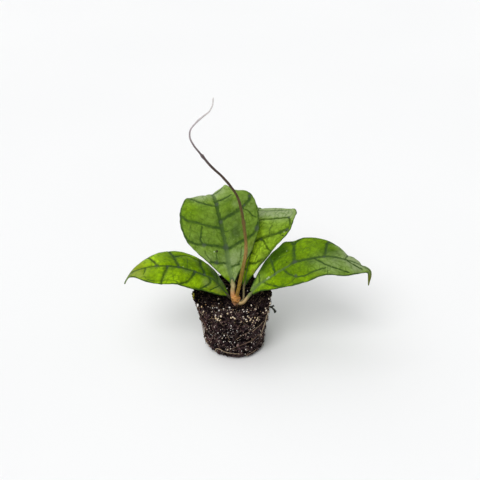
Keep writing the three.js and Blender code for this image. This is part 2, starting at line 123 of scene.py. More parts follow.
LEAVES["right"] = dict(
    midrib=[(10, -5, 42), (14, -4, 46.5), (21, -3, 51.5), (31.5, -2, 58.5), (44, -2, 64), (56, -3, 67),
        (68, -5, 66), (79, -6, 61.5), (83.1, -6.4, 58.5), (82.7, -7, 48.5)],
    face=[(0, -0.4, -0.5, 0.8), (0.5, 0, -0.25, 1), (0.86, 0.46, -0.2, 0.84), (0.9, 0.4, -0.8, 0.5),
        (1, 0.3, -0.9, 0.3)],
    left=dict(widths=[1.8, 3.5, 7.4, 11.8, 16.5, 19.4, 19.4, 16.8, 11.2, 5, 1.4, 1.2, 0.3],
        rise=(0.45, 0, -0.6), curl=0.01),
    right=dict(widths=[2.2, 4.5, 7.8, 11.5, 15.2, 16.2, 15.7, 14.8, 13.2, 7.6, 2.6, 1.5, 0.3],
        rise=(0.2, 0.05, -0.2), curl=0.014),
    wave=(0.5, 3, 0.1), tone=0.3, bloom_and_sheen=0.0, brown=0.8,
    swells=[(0.375, -1, -1.2, 3), (0.335, -1, 2.1, 3), (0.72, -1, -1.1, 4), (0.83, -0.9, -1.5, 1.9)],
    rib=[(0, 0, 1, 0.2), (0.2, 0, 0.8, 0.3), (0.31, 0, 0.75, 0.6), (0.352, -0.09, 1.1, 1),
        (0.4, -0.04, 1, 1), (0.5, 0, 0.95, 1), (0.75, 0, 0.65, 0.85), (0.88, 0, 0.4, 0.6),
        (1, 0, 0.3, 0.4)],
    veins=[
        (0.8, 0.65, (0.347, -0.05), (0.357, -0.12), (0.372, -0.5), (0.388, -0.84), (0.42, -0.97)),
        (0.7, 0.45, (0.375, -0.8), (0.366, -0.92), (0.35, -0.99)),
        (0.7, 0.5, (0.56, 0), (0.565, -0.2), (0.57, -0.55), (0.583, -0.9), (0.62, -0.97)),
        (0.5, 0.45, (0.2, 0), (0.21, -0.12), (0.222, -0.7), (0.225, -0.95)),
        (0.5, 0.35, (0.495, 0), (0.51, 0.12), (0.568, 0.42), (0.62, 0.58), (0.68, 0.66), (0.738, 0.8)),
        (0.5, 0.35, (0.27, 0), (0.295, 0.34), (0.35, 0.65), (0.4, 0.73), (0.468, 0.68), (0.575, 0.63)),
        (0.5, 0.35, (0.11, 0), (0.133, 0.45), (0.19, 0.9)),
        (0.45, 0.3, (0.07, 0), (0.08, -0.1), (0.112, -0.76)),
        (0.45, 0.3, (0.715, 0), (0.728, 0.1), (0.777, 0.27), (0.828, 0.45)),
        (0.35, 0.25, (0.7, 0), (0.71, -0.4), (0.725, -0.9)),
    ],
    faint=[
        (0.3, 0.25, (0.19, 0.89), (0.23, 0.91), (0.29, 0.86), (0.35, 0.65)),
        (0.3, 0.2, (0.222, -0.6), (0.25, -0.55), (0.3, -0.48), (0.368, -0.42)),
        (0.35, 0.25, (0.42, -0.97), (0.47, -0.92), (0.53, -0.9), (0.58, -0.88)),
        (0.3, 0.25, (0.592, 0.5), (0.593, 0.75), (0.6, 0.98)),
        (0.5, 0.4, (0.04, -0.8), (0.1, -0.9), (0.17, -0.93), (0.25, -0.95)),
    ],
    knots=[(0.36, -0.06, 1.8), (0.56, 0, 1), (0.345, 0.6, 1.3), (0.2, 0, 0.9), (0.583, -0.92, 1.2)],
    deep=[(0.28, -0.85, 6, 1.35), (0.15, -0.8, 5, 1.1), (0.22, -0.75, 4.5, 0.6), (0.2, -0.25, 4, -0.7),
        (0.93, 0, 7, 0.3), (0.08, 0.3, 6, -0.6), (0.16, 0.6, 6, -0.5), (0.12, -0.2, 3.5, -0.6),
        (0.48, 0.1, 7, 0.35), (0.61, 0, 8, 0.42), (0.42, -0.5, 7, 0.1), (0.61, -0.4, 4.5, 0.3),
        (0.5, 0.65, 8, 0.15), (0.52, -0.92, 4, -0.3), (0.3, 0.12, 5, 0.25), (0.33, -0.4, 5, -0.1)],
    pale=[(0.62, 0.25, 8, 0.38), (0.77, 0.1, 7, 0.95), (0.53, 0.45, 6, 0.15), (0.7, -0.7, 6, 0.6),
        (0.79, -0.3, 7, 0.6), (0.64, 0.9, 7, 0.3), (0.93, -0.4, 4, 0.5), (0.85, 0, 3.5, 0.6),
        (0.1, -0.2, 4, 0.3), (0.5, 0.12, 5, 0.1), (0.86, 0.9, 3, -0.5), (0.95, 0.8, 3, -0.5),
        (0.03, -0.7, 3, 0.5), (0.65, -0.92, 2.5, 0.3), (0.61, -0.4, 4, -0.12)],
    yellow=[(0.93, 0.8, 4, 0.4), (0.5, 0.95, 3, 0.2)],
    flecks_and_glints=[(0.158, -0.06, 0.85), (0.142, -0.05, 0.6), (0.33, -0.61, 0.4)],
    scars=[(0.311, -0.17, 0.5)],
)
LEAVES["centre"] = dict(
    midrib=[(-2, -3, 47.5), (-4.1, 2, 56), (-6, 6, 67.5), (-9, 12, 79.5), (-11.5, 19, 87.5),
        (-13.5, 27, 91), (-15, 36, 90.5), (-16, 44, 86)],
    face=[(0, 0, -0.9, 0.45), (0.5, 0, -0.8, 0.6), (1, 0, -0.1, 1)],
    left=dict(widths=[1.2, 3.9, 7.5, 12.2, 17.7, 22, 24.4, 24.6, 23.2, 18.5, 10.5, 3.5, 0.3],
        rise=(0.2, 0.1, -0.05), curl=0.01),
    right=dict(widths=[1.2, 4, 8, 12.8, 18, 22.6, 24.6, 25, 24, 19.4, 10.5, 3.5, 0.3],
        rise=(0.2, 0.1, 0.25), curl=0.013),
    wave=(0.4, 2, 0.3), tone=0.38, bloom_and_sheen=0.16, brown=0.0,
    swells=[(0.893, 1, 2.6, 3), (0.835, 1, -0.9, 4), (0.95, 1, -0.9, 3), (0.805, -1, 2.2, 4),
        (0.93, -1, -1.6, 7)],
    rib=[(0, 0, 1.2, 0.3), (0.12, 0, 1.5, 0.1), (0.25, 0, 1.45, 0.25), (0.31, 0, 1.4, 0.75),
        (0.36, 0.01, 1.1, 0.8), (0.45, 0, 1.1, 0.85), (0.53, 0.01, 1.3, 1), (0.62, 0, 1.15, 1),
        (0.69, 0.02, 1.3, 1), (0.8, 0, 0.9, 0.7), (1, 0, 0.5, 0.7)],
    veins=[
        (0.65, 0.5, (0.172, 0), (0.178, -0.12), (0.19, -0.58), (0.21, -0.84)),
        (0.75, 0.6, (0.305, 0), (0.312, -0.06), (0.352, -0.39), (0.378, -0.65), (0.4, -0.84),
         (0.435, -0.94)),
        (0.45, 0.3, (0.378, -0.65), (0.425, -0.64), (0.45, -0.58), (0.52, -0.48)),
        (0.7, 0.55, (0.475, 0), (0.482, -0.06), (0.52, -0.34), (0.568, -0.58), (0.605, -0.82),
         (0.66, -0.94)),
        (0.6, 0.45, (0.668, 0), (0.676, -0.06), (0.723, -0.32), (0.79, -0.66), (0.81, -0.83)),
        (0.5, 0.4, (0.12, 0), (0.128, 0.05), (0.143, 0.27), (0.152, 0.68)),
        (0.75, 0.7, (0.292, 0), (0.298, 0.1), (0.32, 0.34), (0.339, 0.55), (0.352, 0.74), (0.386, 0.91),
         (0.445, 0.96)),
        (0.75, 0.65, (0.538, 0), (0.542, 0.05), (0.562, 0.25), (0.59, 0.5), (0.62, 0.68), (0.668, 0.86),
         (0.725, 0.97)),
        (0.4, 0.3, (0.603, 0.6), (0.57, 0.74), (0.535, 0.8), (0.503, 0.91)),
        (0.45, 0.45, (0.435, -0.94), (0.46, -0.965), (0.55, -0.975), (0.62, -0.965), (0.66, -0.94)),
        (0.5, 0.35, (0.715, 0), (0.718, 0.08), (0.722, 0.24), (0.753, 0.49)),
        (0.5, 0.35, (0.83, 0), (0.86, 0.35), (0.89, 0.75)),
        (0.45, 0.35, (0.84, 0), (0.87, -0.35), (0.9, -0.75)),
    ],
    faint=[
        (0.45, 0.35, (0.66, -0.94), (0.69, -0.965), (0.73, -0.97), (0.79, -0.93)),
        (0.35, 0.25, (0.47, -0.87), (0.48, -0.83), (0.52, -0.79), (0.568, -0.71)),
        (0.4, 0.2, (0.453, -0.01), (0.438, 0.18), (0.458, 0.37)),
        (0.45, 0.3, (0.152, 0.62), (0.21, 0.6), (0.3, 0.54)),
        (0.4, 0.3, (0.322, -0.7), (0.29, -0.76), (0.242, -0.8), (0.208, -0.8)),
        (0.35, 0.45, (0.19, -0.6), (0.23, -0.5), (0.278, -0.39)),
        (0.45, 0.35, (0.445, 0.96), (0.53, 0.965), (0.6, 0.97)),
    ],
    knots=[(0.314, 0, 2.2), (0.371, -0.62, 1.6), (0.2, -0.61, 1.7), (0.409, 0.94, 2), (0.689, 0.02, 1.5),
        (0.527, 0.02, 1.4), (0.702, 0.92, 1.5), (0.62, 0.68, 0.9), (0.029, 0.1, 2)],
    deep=[(0.36, 0.25, 8, 0.4), (0.46, -0.35, 8, 0.35), (0.6, -0.4, 6, 0.25), (0.3, -0.3, 6, 0.3),
        (0.51, 0.22, 9, 0.5), (0.7, -0.7, 7, -0.2), (0.69, -0.1, 5, -0.3), (0.68, 0.3, 6, 0.45),
        (0.25, -0.55, 6, -0.3), (0.55, -0.85, 5, 0.1), (0.83, 0.35, 8, -0.7), (0.78, 0.8, 5, -0.1),
        (0.05, 0.5, 4, -0.5), (0.12, -0.5, 4, -0.2), (0.28, 0.8, 6, 0.4)],
    pale=[(0.12, 0.15, 4.5, 0.35), (0.04, -0.5, 2.5, -0.35), (0.2, 0.3, 5.5, 0.65), (0.28, 0.42, 5, 0.12),
        (0.24, 0.75, 4, 0.3), (0.83, -0.6, 5, 0.9), (0.79, -0.25, 4, 0.2), (0.648, 0.47, 2.2, 0.3),
        (0.93, 0.3, 6, 0.35), (0.19, -0.2, 3, 0.2), (0.22, -0.85, 6, 0.3), (0.35, -0.9, 6, 0.15),
        (0.83, 0.2, 8, 0.6), (0.05, 0.6, 3.5, 0.6), (0.62, 0.8, 8, 0.12), (0.68, 0.35, 6, -0.14),
        (0.68, -0.7, 9, -0.14)],
    yellow=[(0.3, 0.9, 4, 0.3), (0.04, 0.7, 3, 0.2)],
    flecks_and_glints=[(0.297, -0.44, 0.7), (0.365, 0.28, 0.35)],
    scars=[(0.297, -0.35, 0.95)],
)
LEAVES["back"] = dict(
    midrib=[(5.3, 3, 42.5), (7, 7, 51), (9.5, 13, 61.5), (12, 20, 71.3), (14, 27, 76), (16, 35, 77.3),
        (18, 44, 75.3), (19, 52, 70)],
    face=[(0, 0, -0.9, 0.45), (0.5, 0, -0.75, 0.65), (1, 0, 0, 1)],
    left=dict(widths=[1.1, 3, 6, 9.5, 14, 18, 20.5, 21, 19, 14, 7.5, 2.5, 0.3],
        rise=(0.2, 0.1, 0), curl=0.008),
    right=dict(widths=[1.1, 2.6, 5, 7.7, 11.8, 15.2, 19.9, 22.3, 22.4, 22.2, 15, 4, 0.3],
        rise=(0.2, 0.2, 0.2), curl=0.005),
    wave=(0.3, 2, 0.6), tone=-0.28, bloom_and_sheen=0.03, brown=0.0,
    swells=[(0.885, 1, -1.3, 6), (0.82, 1, 0.8, 3), (0.915, 0.5, -1.5, 6.5), (0.88, -0.3, -0.25, 6)],
    rib=[(0, 0, 0.5, 0.6), (0.2, 0, 0.4, 0.5), (0.3, 0.01, 0.5, 0.9), (0.4, 0.02, 0.55, 1),
        (0.52, 0.06, 0.65, 1), (0.6, 0.03, 0.7, 0.9), (0.68, -0.12, 0.7, 0.8), (0.8, -0.17, 0.6, 0.7),
        (1, 0, 0.35, 0.6)],
    veins=[
        (0.5, 0.4, (0.6, 0.02), (0.612, 0.08), (0.64, 0.4), (0.683, 0.84)),
        (0.65, 0.55, (0.4, 0), (0.413, 0.13), (0.46, 0.43), (0.522, 0.77), (0.567, 0.93)),
        (0.5, 0.35, (0.43, 0.28), (0.425, 0.39), (0.37, 0.69), (0.345, 0.93)),
        (0.55, 0.45, (0.195, 0), (0.202, 0.1), (0.22, 0.6), (0.262, 0.82)),
        (0.5, 0.4, (0.683, 0.84), (0.627, 0.92), (0.567, 0.93)),
        (0.35, 0.25, (0.75, -0.1), (0.765, 0.25), (0.8, 0.6), (0.83, 0.85)),
        (0.6, 0.4, (0.14, 0), (0.16, -0.4), (0.2, -0.85)),
        (0.65, 0.45, (0.3, 0), (0.32, -0.3), (0.37, -0.65), (0.42, -0.9)),
        (0.65, 0.45, (0.48, 0), (0.5, -0.3), (0.56, -0.65), (0.62, -0.92)),
        (0.6, 0.4, (0.66, -0.08), (0.69, -0.35), (0.75, -0.7), (0.79, -0.92)),
        (0.5, 0.35, (0.83, -0.15), (0.86, -0.4), (0.9, -0.8)),
        (0.5, 0.35, (0.86, -0.12), (0.88, 0.35), (0.91, 0.8)),
    ],
    faint=[
        (0.45, 0.3, (0.478, 0.5), (0.51, 0.46), (0.545, 0.44), (0.57, 0.45)),
        (0.35, 0.25, (0.215, 0.45), (0.25, 0.43), (0.285, 0.43)),
        (0.35, 0.25, (0.522, 0.77), (0.5, 0.84), (0.49, 0.93)),
        (0.5, 0.45, (0.19, 0.84), (0.25, 0.9), (0.33, 0.93), (0.42, 0.95)),
    ],
    knots=[(0.555, 0.93, 1.3), (0.43, 0.3, 0.9), (0.683, 0.84, 1)],
    # Painted light: the strongly negative patches by the midrib lift the centre leaf's shadow. The patch at
    # the base is painted shade.
    deep=[(0.336, 0.5, 6, -0.3), (0.24, 0.35, 6, -0.5), (0.14, 0.4, 5, -0.7), (0.44, 0.6, 5, -0.35),
        (0.36, 0.1, 4, -1.9), (0.47, 0.1, 4, -1.8), (0.58, 0.12, 4, -0.6), (0.26, 0.12, 4, -1.5),
        (0.04, 0.8, 3.2, 1.7), (0.25, 0.92, 3, 0.5), (0.52, 0.38, 5, 0.3), (0.51, 0.95, 2.5, 0.5)],
    pale=[(0.71, 0.1, 6, 0.95), (0.73, 0.5, 7, 0.9), (0.74, 0.85, 6, 0.8), (0.86, 0.3, 9, 0.8),
        (0.55, 0.5, 8, 0.1), (0.4, 0.5, 8, 0.08), (0.24, 0.85, 5, 0.12)],
    yellow=[(0.14, 0.75, 1.6, 0.8), (0.3, 0.6, 3, 0.2)],
    flecks_and_glints=[(0.53, 0.88, 0.55)],
    scars=[(0.5, 0.91, 0.6), (0.545, 0.93, 0.5)],
)

# A petiole's route from inside the crown, its radius next to the stem and next to the blade, how far it
# runs on under the blade, how green it is at least and how much greener it turns towards the blade, how
# dark it is painted, which is painted shade where it stands in shadow, and how orange next to the crown.
PETIOLES = {
    "left": dict(points=[(-0.8, -5.6, 35.8), (-2.6, -4.9, 37.2)], radii=(0.9, 0.85),
        reach=2.6, green=0.1, top_green=0, dark=0.95, ruddy=0),
    "right": dict(points=[(1, -6.8, 35.8), (3, -7.5, 35.5), (4.9, -7.2, 36.1), (6.8, -6.3, 38.3)],
        radii=(1.1, 1.0), reach=0.8, green=0, top_green=0.5, dark=0, ruddy=0.15),
    "centre": dict(points=[(-1.2, -5.8, 37), (-1.8, -5.4, 40), (-1.95, -4.6, 43.5)], radii=(1.55, 1.35),
        reach=2.6, green=0, top_green=0, dark=0, ruddy=0.8),
    "back": dict(points=[(0.8, -5.6, 35.8), (3.2, -4.9, 35.3), (4.7, -3.8, 36), (4.9, -2.6, 37.6)],
        radii=(0.65, 0.65), reach=2.6, green=0.3, top_green=0, dark=0.45, ruddy=0),
}

RUNNER_PATH = [
    (0, -6.2, 36), (0.9, -6.5, 42), (1.9, -6.7, 47), (3.3, -7, 55), (4.8, -8, 64), (6.1, -9, 73),
    (6.1, -10, 82), (5.2, -10, 91), (3.6, -10, 103), (1, -10, 113), (-2.7, -10, 119.5), (-8, -11, 127),
    (-14.2, -12, 134), (-19.8, -12, 141.5), (-24, -13, 148), (-26, -14, 153.5), (-25.6, -14, 158),
    (-22.5, -13, 162), (-18.2, -12, 165.7), (-15, -11, 168), (-12.9, -10, 172), (-12.5, -9, 176),
]
RUNNER_RADII = [  # (share of its length, radius)
    (0, 1.15), (0.06, 1.15), (0.12, 1.22), (0.17, 1.18), (0.24, 1.05), (0.37, 0.9), (0.46, 0.82),
    (0.52, 0.75), (0.6, 0.76), (0.7, 0.7), (0.76, 0.54), (0.86, 0.46), (0.9, 0.49), (0.94, 0.42), (1, 0.36),
]
RUNNER_NODES = [(0.385, 0.35), (0.72, 0.33), (0.89, 0.12)]  # (share, swelling) where a leaf pair would grow

STEM_AXIS = (-0.2, -6)
CROWN_PROFILE = [  # (radius, height) of the woody stem
    (1.2, 27), (1.3, 31), (1.45, 33), (1.8, 34.6), (2.35, 36.2), (2.7, 38), (2.6, 39.3), (2.0, 40.3),
    (1.2, 40.9), (0.02, 41.1),
]
# Bud scars and ridges on the crown, as (degrees from the front, height, how far out, radius).
CROWN_LUMPS = [
    (-22, 37.6, 0.55, 1.0), (38, 36.4, 0.4, 0.9), (-60, 35.6, 0.35, 1.0), (10, 34.6, 0.3, 0.8),
    (75, 38.2, 0.35, 0.8), (-4, 39.9, -0.5, 0.7), (-48, 39.4, 0.4, 0.7), (16, 36, -0.35, 0.6),
    (-38, 36.2, -0.35, 0.6), (150, 37, 0.4, 1.2),
]
CROWN_LEAN = 0.9  # how far its buried end stands to the right of its top

PLUG_PROFILE = [  # (radius, height) from the middle of the foot over the rim to the soil round the stem
    (0.02, 0), (7, 0), (13.5, 0), (16.8, 0.7), (18.4, 2.4), (19, 5.5), (19.9, 11), (21, 17), (22, 23),
    (22.9, 28), (23.9, 33), (24.9, 36), (25.1, 37.3), (24.3, 38), (21.5, 37.5), (17.5, 36.6), (12, 35.2),
    (6, 34.3), (0.02, 34),
]
PLUG_HEIGHT = 38
PLUG_LEAN = -2.2  # how far the middle of its rim is from that of its foot, to the left
LUMP_HEIGHT = 0.45  # how uneven the plug's side is
SIDE_SWELLS = [(-76, 6, 9, 1.5), (76, 13, 10, -1.3)]  # (degrees from the front, height, reach, how far out)

# Roots on the plug's side, as (angle from the front in degrees, height), each with its thickness and shade.
ROOTS = [
    (0.24, 0.6, [(30, 22), (35, 23.4), (45, 24.6), (54, 26.2)]),
    (0.22, 0.36, [(57, 15.4), (41, 16.2), (30, 14.2), (20, 13.2), (8, 12.3), (-1, 10.6), (-10, 9.2)]),
    (0.27, 0.8, [(-48, 1.5), (-40, 5.7), (-32, 6.7), (-21, 6.2), (-7, 5.2), (8, 4.8)]),
    (0.2, 0.6, [(20, 2.5), (29, 3.5), (44, 4.5)]),
    (0.45, 0.85, [(67, 31), (65, 27), (59, 22), (55, 17.5)]),
    (0.22, 0.6, [(55, 18), (54, 16.5), (57, 14.8)]),
    (0.2, 0.55, [(-65, 9.8), (-63, 6), (-58, 4.4)]),
    (0.2, 0.45, [(-82, 24), (-76, 18), (-71, 11)]),
    (0.35, 0.7, [(100, 9), (118, 14), (138, 12)]),
    (0.35, 0.7, [(150, 31), (163, 23), (182, 16), (204, 14)]),
    (0.3, 0.6, [(-122, 27), (-134, 18), (-128, 8)]),
]
SOIL_SINK = 0.2  # how far the soil's skin lies inside the plug's outline on average
CLEFT = (15.2, 0.45, -1.3)  # a dark crack round the front on the right: its height, half width and depth
SPRIG = [(20.5, 0, 28), (22.4, -0.3, 27.9), (23.9, -0.6, 26.7), (25.2, -1, 24.4)]
SPRIG_FORK = [(22.4, -0.3, 27.9), (23.4, -0.3, 28.7), (24.3, -0.3, 28.9)]
SPRIG_TWIGS = [  # (share of the sprig's length, way, length)
    (0.35, (0.3, -0.2, 1.0), 1.1), (0.55, (-0.5, -0.5, -0.9), 1.0), (0.7, (1, 0.2, 0.2), 1.0),
]
SMOOTH_SIDE = 84  # at this angle from the front, the plug's side is smoother and its crumbs lie deeper
SMOOTH_REACH = 26
PERLITE_GRAINS = 1500  # the small ones, besides the specks that are placed one by one
CRUMBS_IN_ALL = 760
SIDE_FIBRES = 105
TOP_FIBRES = 50
MOSS_LEAVES = 150

# Pale specks that the plug's front shows, as (degrees from the front, height, radius, shade).
SIDE_SPECKS = [
    (68, 36.9, 0.5, 0.55), (67, 35.4, 0.45, 0.5), (58, 34.1, 0.55, 0.6), (-24, 37.2, 0.4, 0.7),
    (-26, 35.3, 0.5, 0.4), (-24, 33.1, 0.6, 0.55), (-21, 32.6, 0.4, 0.45), (-16, 37.3, 0.6, 0.5),
    (1, 37.3, 0.5, 0.55), (15, 37.2, 0.4, 0.7), (16, 35.7, 0.35, 0.6), (19, 34.2, 0.4, 0.7),
    (27, 33.6, 0.6, 0.45), (24, 35.3, 0.45, 0.4), (21, 31.9, 0.55, 0.5), (31, 31.5, 0.4, 0.4),
    (35, 29, 0.35, 0.45), (12, 32.7, 0.5, 0.4), (39, 32.2, 0.45, 0.5), (41, 30.4, 0.35, 0.45),
    (-4, 29.5, 0.4, 0.85), (-5, 27.3, 0.4, 0.9), (-34, 25.2, 0.4, 0.8), (-47, 21.8, 0.4, 0.7),
    (-44, 24.4, 0.3, 0.8), (-18, 20, 0.5, 0.9), (-28, 21.6, 0.4, 0.8), (-5, 22.8, 0.35, 0.8),
    (-13, 20.4, 0.35, 0.85), (-5, 19.2, 0.35, 0.8), (23, 18.3, 0.35, 0.8), (32, 27.1, 0.5, 0.6),
    (51, 18.5, 0.55, 0.7), (52, 15.1, 0.6, 0.6), (-21, 14.4, 0.45, 0.85), (-31, 14.1, 0.4, 0.8),
    (-34, 10.7, 0.45, 0.75), (-9, 15.6, 0.4, 0.9), (-1, 15.3, 0.45, 0.95), (30, 12.6, 0.45, 0.75),
    (-15, 8.2, 0.65, 0.65), (-9, 9.8, 0.35, 0.85), (11, 7.1, 0.45, 0.95), (19, 7.8, 0.5, 0.9),
    (18, 4.2, 0.4, 0.9), (-60, 4.4, 0.5, 0.35), (-64, 7.6, 0.5, 0.4), (-62, 36.9, 0.8, 0.85),
    (-26, 33.9, 0.5, 0.35), (-22, 34.2, 0.45, 0.5), (-19, 33.4, 0.4, 0.3), (3, 36.4, 0.5, 0.5),
    (-2, 36.7, 0.5, 0.45), (26, 32.2, 0.5, 0.4), (29, 34.4, 0.45, 0.5), (34, 33.4, 0.5, 0.35),
    (37, 31.2, 0.45, 0.45), (30, 29.9, 0.4, 0.35), (22, 36.6, 0.45, 0.6), (49, 34.5, 0.4, 0.5),
    (55, 36.4, 0.45, 0.6), (-45, 36.6, 0.4, 0.5), (-50, 34.2, 0.35, 0.4), (-88, 37.9, 0.4, 0.95),
]
# The same on the soil's top, as (degrees, distance from its middle, radius, shade).
TOP_SPECKS = [
    (-62, 19.5, 0.35, 0.6), (-54, 20.5, 0.4, 0.1), (-38, 19.9, 0.35, 0.75), (-34, 17.4, 0.4, 0.85),
    (-24, 20.2, 0.5, 0.85), (-79, 9.4, 0.4, 0.6), (-49, 11.7, 0.35, 0.7), (-20, 16.2, 0.45, 0.7),
    (-9, 12.8, 0.7, 0.8), (45, 16.6, 0.5, 0.6), (24, 21.9, 0.35, 0.8), (20, 21.5, 0.4, 0.8),
    (21, 18.1, 0.4, 0.6), (-2, 20.7, 0.5, 0.55), (-7, 22.8, 0.5, 0.45), (74, 23.9, 0.45, 0.6),
    (39, 23, 0.55, 0.6), (-51, 24.5, 0.5, 0.25), (127, 11.7, 0.4, 0.9), (-159, 10.8, 0.5, 0.7),
]
SPECK_SCALE = 1.2
FINE_BELOW = 28  # below this height the specks are smaller and duller

FLOOR_SIZE = 6.0  # in metres, from its middle to its edge
FLOOR_STEPS = 12
# Each light's name, degrees from the front towards the right, height and spread in degrees, and strength.
LIGHTS = [("key", -22, 50, 35, 1.55), ("top", -45, 70, 70, 0.95), ("rim", -135, 35, 70, 0.88)]


def smooth_step(value, low, high):
    """0 at low and 1 at high, with a soft start and end. low may be above high."""
    t = np.clip((value - low) / (high - low), 0, 1)
    return t * t * (3 - 2 * t)


def hump(value, middle, width):
    """1 at the middle, falling away softly on both sides."""
    return np.exp(-(((value - middle) / width) ** 2))


def mix(a, b, share):
    return a + (b - a) * share


def normalised(vectors):
    return vectors / np.maximum(np.linalg.norm(vectors, axis=-1, keepdims=True), 1e-12)


def of_three(values, along):
    base, middle, tip = values
    return np.where(along < 0.5, mix(base, middle, along * 2), mix(middle, tip, along * 2 - 1))


def through_stations(values, at):
    """A smooth curve through one value at each station."""
    x, y = np.array(STATIONS), np.array(values, float)
    gap = np.diff(x)
    step = np.diff(y) / gap
    slope = np.empty(len(x))
    slope[1:-1] = (step[:-1] * gap[1:] + step[1:] * gap[:-1]) / (gap[:-1] + gap[1:])
    slope[0], slope[-1] = step[0], step[-1]
    i = np.clip(np.searchsorted(x, at, side="right") - 1, 0, len(x) - 2)
    t = (at - x[i]) / gap[i]
    start = (2 * t**3 - 3 * t**2 + 1) * y[i] + (t**3 - 2 * t**2 + t) * gap[i] * slope[i]
    return start + (3 * t**2 - 2 * t**3) * y[i + 1] + (t**3 - t**2) * gap[i] * slope[i + 1]


class Route:
    """A smooth curve through points, with even steps along its length."""

    def __init__(self, points, steps=1200):
        points = np.array(points, float)
        count = len(points)
        pieces = []
        for i in range(count - 1):
            p1, p2 = points[i], points[i + 1]
            p0 = points[i - 1] if i else 2 * p1 - p2
            p3 = points[i + 2] if i + 2 < count else 2 * p2 - p1
            d0, d1, d2 = (max(np.linalg.norm(b - a) ** 0.5, 1e-4) for a, b in ((p0, p1), (p1, p2), (p2, p3)))
            t1 = ((p1 - p0) / d0 - (p2 - p0) / (d0 + d1) + (p2 - p1) / d1) * d1
            t2 = ((p2 - p1) / d1 - (p3 - p1) / (d1 + d2) + (p3 - p2) / d2) * d1
            t = np.linspace(0, 1, max(steps // (count - 1), 2), endpoint=i == count - 2)[:, None]
            square, cube = 3 * (p2 - p1) - 2 * t1 - t2, 2 * (p1 - p2) + t1 + t2
            pieces.append(p1 + t1 * t + square * t**2 + cube * t**3)
        self.points = np.vstack(pieces)
        gaps = np.linalg.norm(np.diff(self.points, axis=0), axis=1)
        self.travelled = np.concatenate([[0], np.cumsum(gaps)])
        self.length = self.travelled[-1]

    def at(self, along):
        far = np.clip(np.asarray(along, float), 0, 1) * self.length
        return np.stack([np.interp(far, self.travelled, axis) for axis in self.points.T], -1)

    def tangent(self, along):
        along = np.asarray(along, float)
        way = self.at(np.clip(along + 1e-3, 0, 1)) - self.at(np.clip(along - 1e-3, 0, 1))
        return way / np.linalg.norm(way, axis=-1, keepdims=True)


def make_piece(name, places, faces, materials, values, replaced=(), kinds=None):
    """A mesh piece from places in millimetres. values are numbers or vectors at its places, for the looks."""
    mesh = bpy.data.meshes.new(name)
    mesh.from_pydata((np.asarray(places) * MM).tolist(), [], [list(map(int, face)) for face in faces])
    for key, numbers in values.items():
        numbers = np.asarray(numbers, np.float32)
        kind, field = ("FLOAT", "value") if numbers.ndim == 1 else ("FLOAT_VECTOR", "vector")
        mesh.attributes.new(key, kind, "POINT").data.foreach_set(field, numbers.ravel())
    for material in materials:
        mesh.materials.append(material)
    if kinds is not None:
        mesh.polygons.foreach_set("material_index", np.asarray(kinds, np.int32))
    mesh.polygons.foreach_set("use_smooth", [True] * len(mesh.polygons))
    mesh.validate()
    mesh.update()
    piece = bpy.data.objects.new(name, mesh)
    bpy.context.scene.collection.objects.link(piece)
    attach(piece, "root")
    if replaced:
        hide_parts(*replaced)


def grid_faces(rows, columns, closed=False):
    """Quads of a grid of rows by columns. A closed grid joins its last column to its first."""
    quads_across = columns if closed else columns - 1
    row, column = np.meshgrid(np.arange(rows - 1), np.arange(quads_across), indexing="ij")
    start, after = row * columns, (column + 1) % columns
    corners = [start + column, start + after, start + columns + after, start + columns + column]
    return np.stack([corner.ravel() for corner in corners], 1)


def capped_faces(rows, columns):
    """Quads of a closed grid, and one face over each of its ends."""
    ends = np.arange(columns)
    return [*grid_faces(rows, columns, closed=True), ends[::-1], (rows - 1) * columns + ends]


def tube(route, radius, rings, sides, lump=None):
    """A closed round stem along a route: places, faces, and each place's share of the length and its turn."""
    along = np.linspace(0, 1, rings)
    middle = route.at(along)
    tangent = route.tangent(along)
    across = normalised(np.cross(tangent[0], (0.3, 0.2, 0.93)))
    frames = []
    for way in tangent:
        across = normalised(across - way * across.dot(way))
        frames.append((across, np.cross(way, across)))
    turn = np.arange(sides) * 2 * math.pi / sides
    one, other = np.array(frames).transpose(1, 0, 2)[:, :, None]
    wide = np.asarray(radius(along), float)[:, None] * np.ones(sides)
    if lump is not None:
        wide = wide * lump(along[:, None], turn[None, :])
    ring = one * np.cos(turn)[None, :, None] + other * np.sin(turn)[None, :, None]
    places = (middle[:, None, :] + ring * wide[:, :, None]).reshape(-1, 3)
    first, last, base = len(places), len(places) + 1, (rings - 1) * sides
    faces = [*grid_faces(rings, sides, closed=True)]
    faces += [[first, (k + 1) % sides, k] for k in range(sides)]
    faces += [[last, base + k, base + (k + 1) % sides] for k in range(sides)]
    share = np.concatenate([np.repeat(along, sides), [0, 1]])
    turns = np.concatenate([np.tile(turn, rings), [0, 0]])
    return np.vstack([places, middle[0], middle[-1]]), faces, share, turns


def tapered(thick, thin):
    """A tube's radius that changes evenly along it."""
    return lambda along: mix(thick, thin, along)


def pointed(thick):
    """A tube's radius that runs to a point."""
    return lambda along: thick * np.sqrt(np.clip(1 - along, 0, 1)) + 0.02


class Heap:
    """Many small meshes gathered into one piece, with a shade from 0 to 1 for each."""

    def __init__(self):
        self.places, self.faces, self.shades, self.count = [], [], [], 0

    def add(self, shape, shade, at=0):
        places, faces = shape[:2]
        self.faces.extend([[int(v) + self.count for v in face] for face in faces])
        self.places.append(places + at)
        self.shades.append(np.full(len(places), shade))
        self.count += len(places)

    def piece(self, name, slot, material):
        values = {"shade": np.concatenate(self.shades)}
        make_piece(name, np.vstack(self.places), self.faces, [material], values)


def ball(detail):
    """The places and faces of a round grain of radius 1, before it is made uneven."""
    shape = bmesh.new()
    bmesh.ops.create_icosphere(shape, subdivisions=detail, radius=1)
    places = np.array([v.co for v in shape.verts])
    faces = [[v.index for v in face.verts] for face in shape.faces]
    shape.free()
    return places, faces


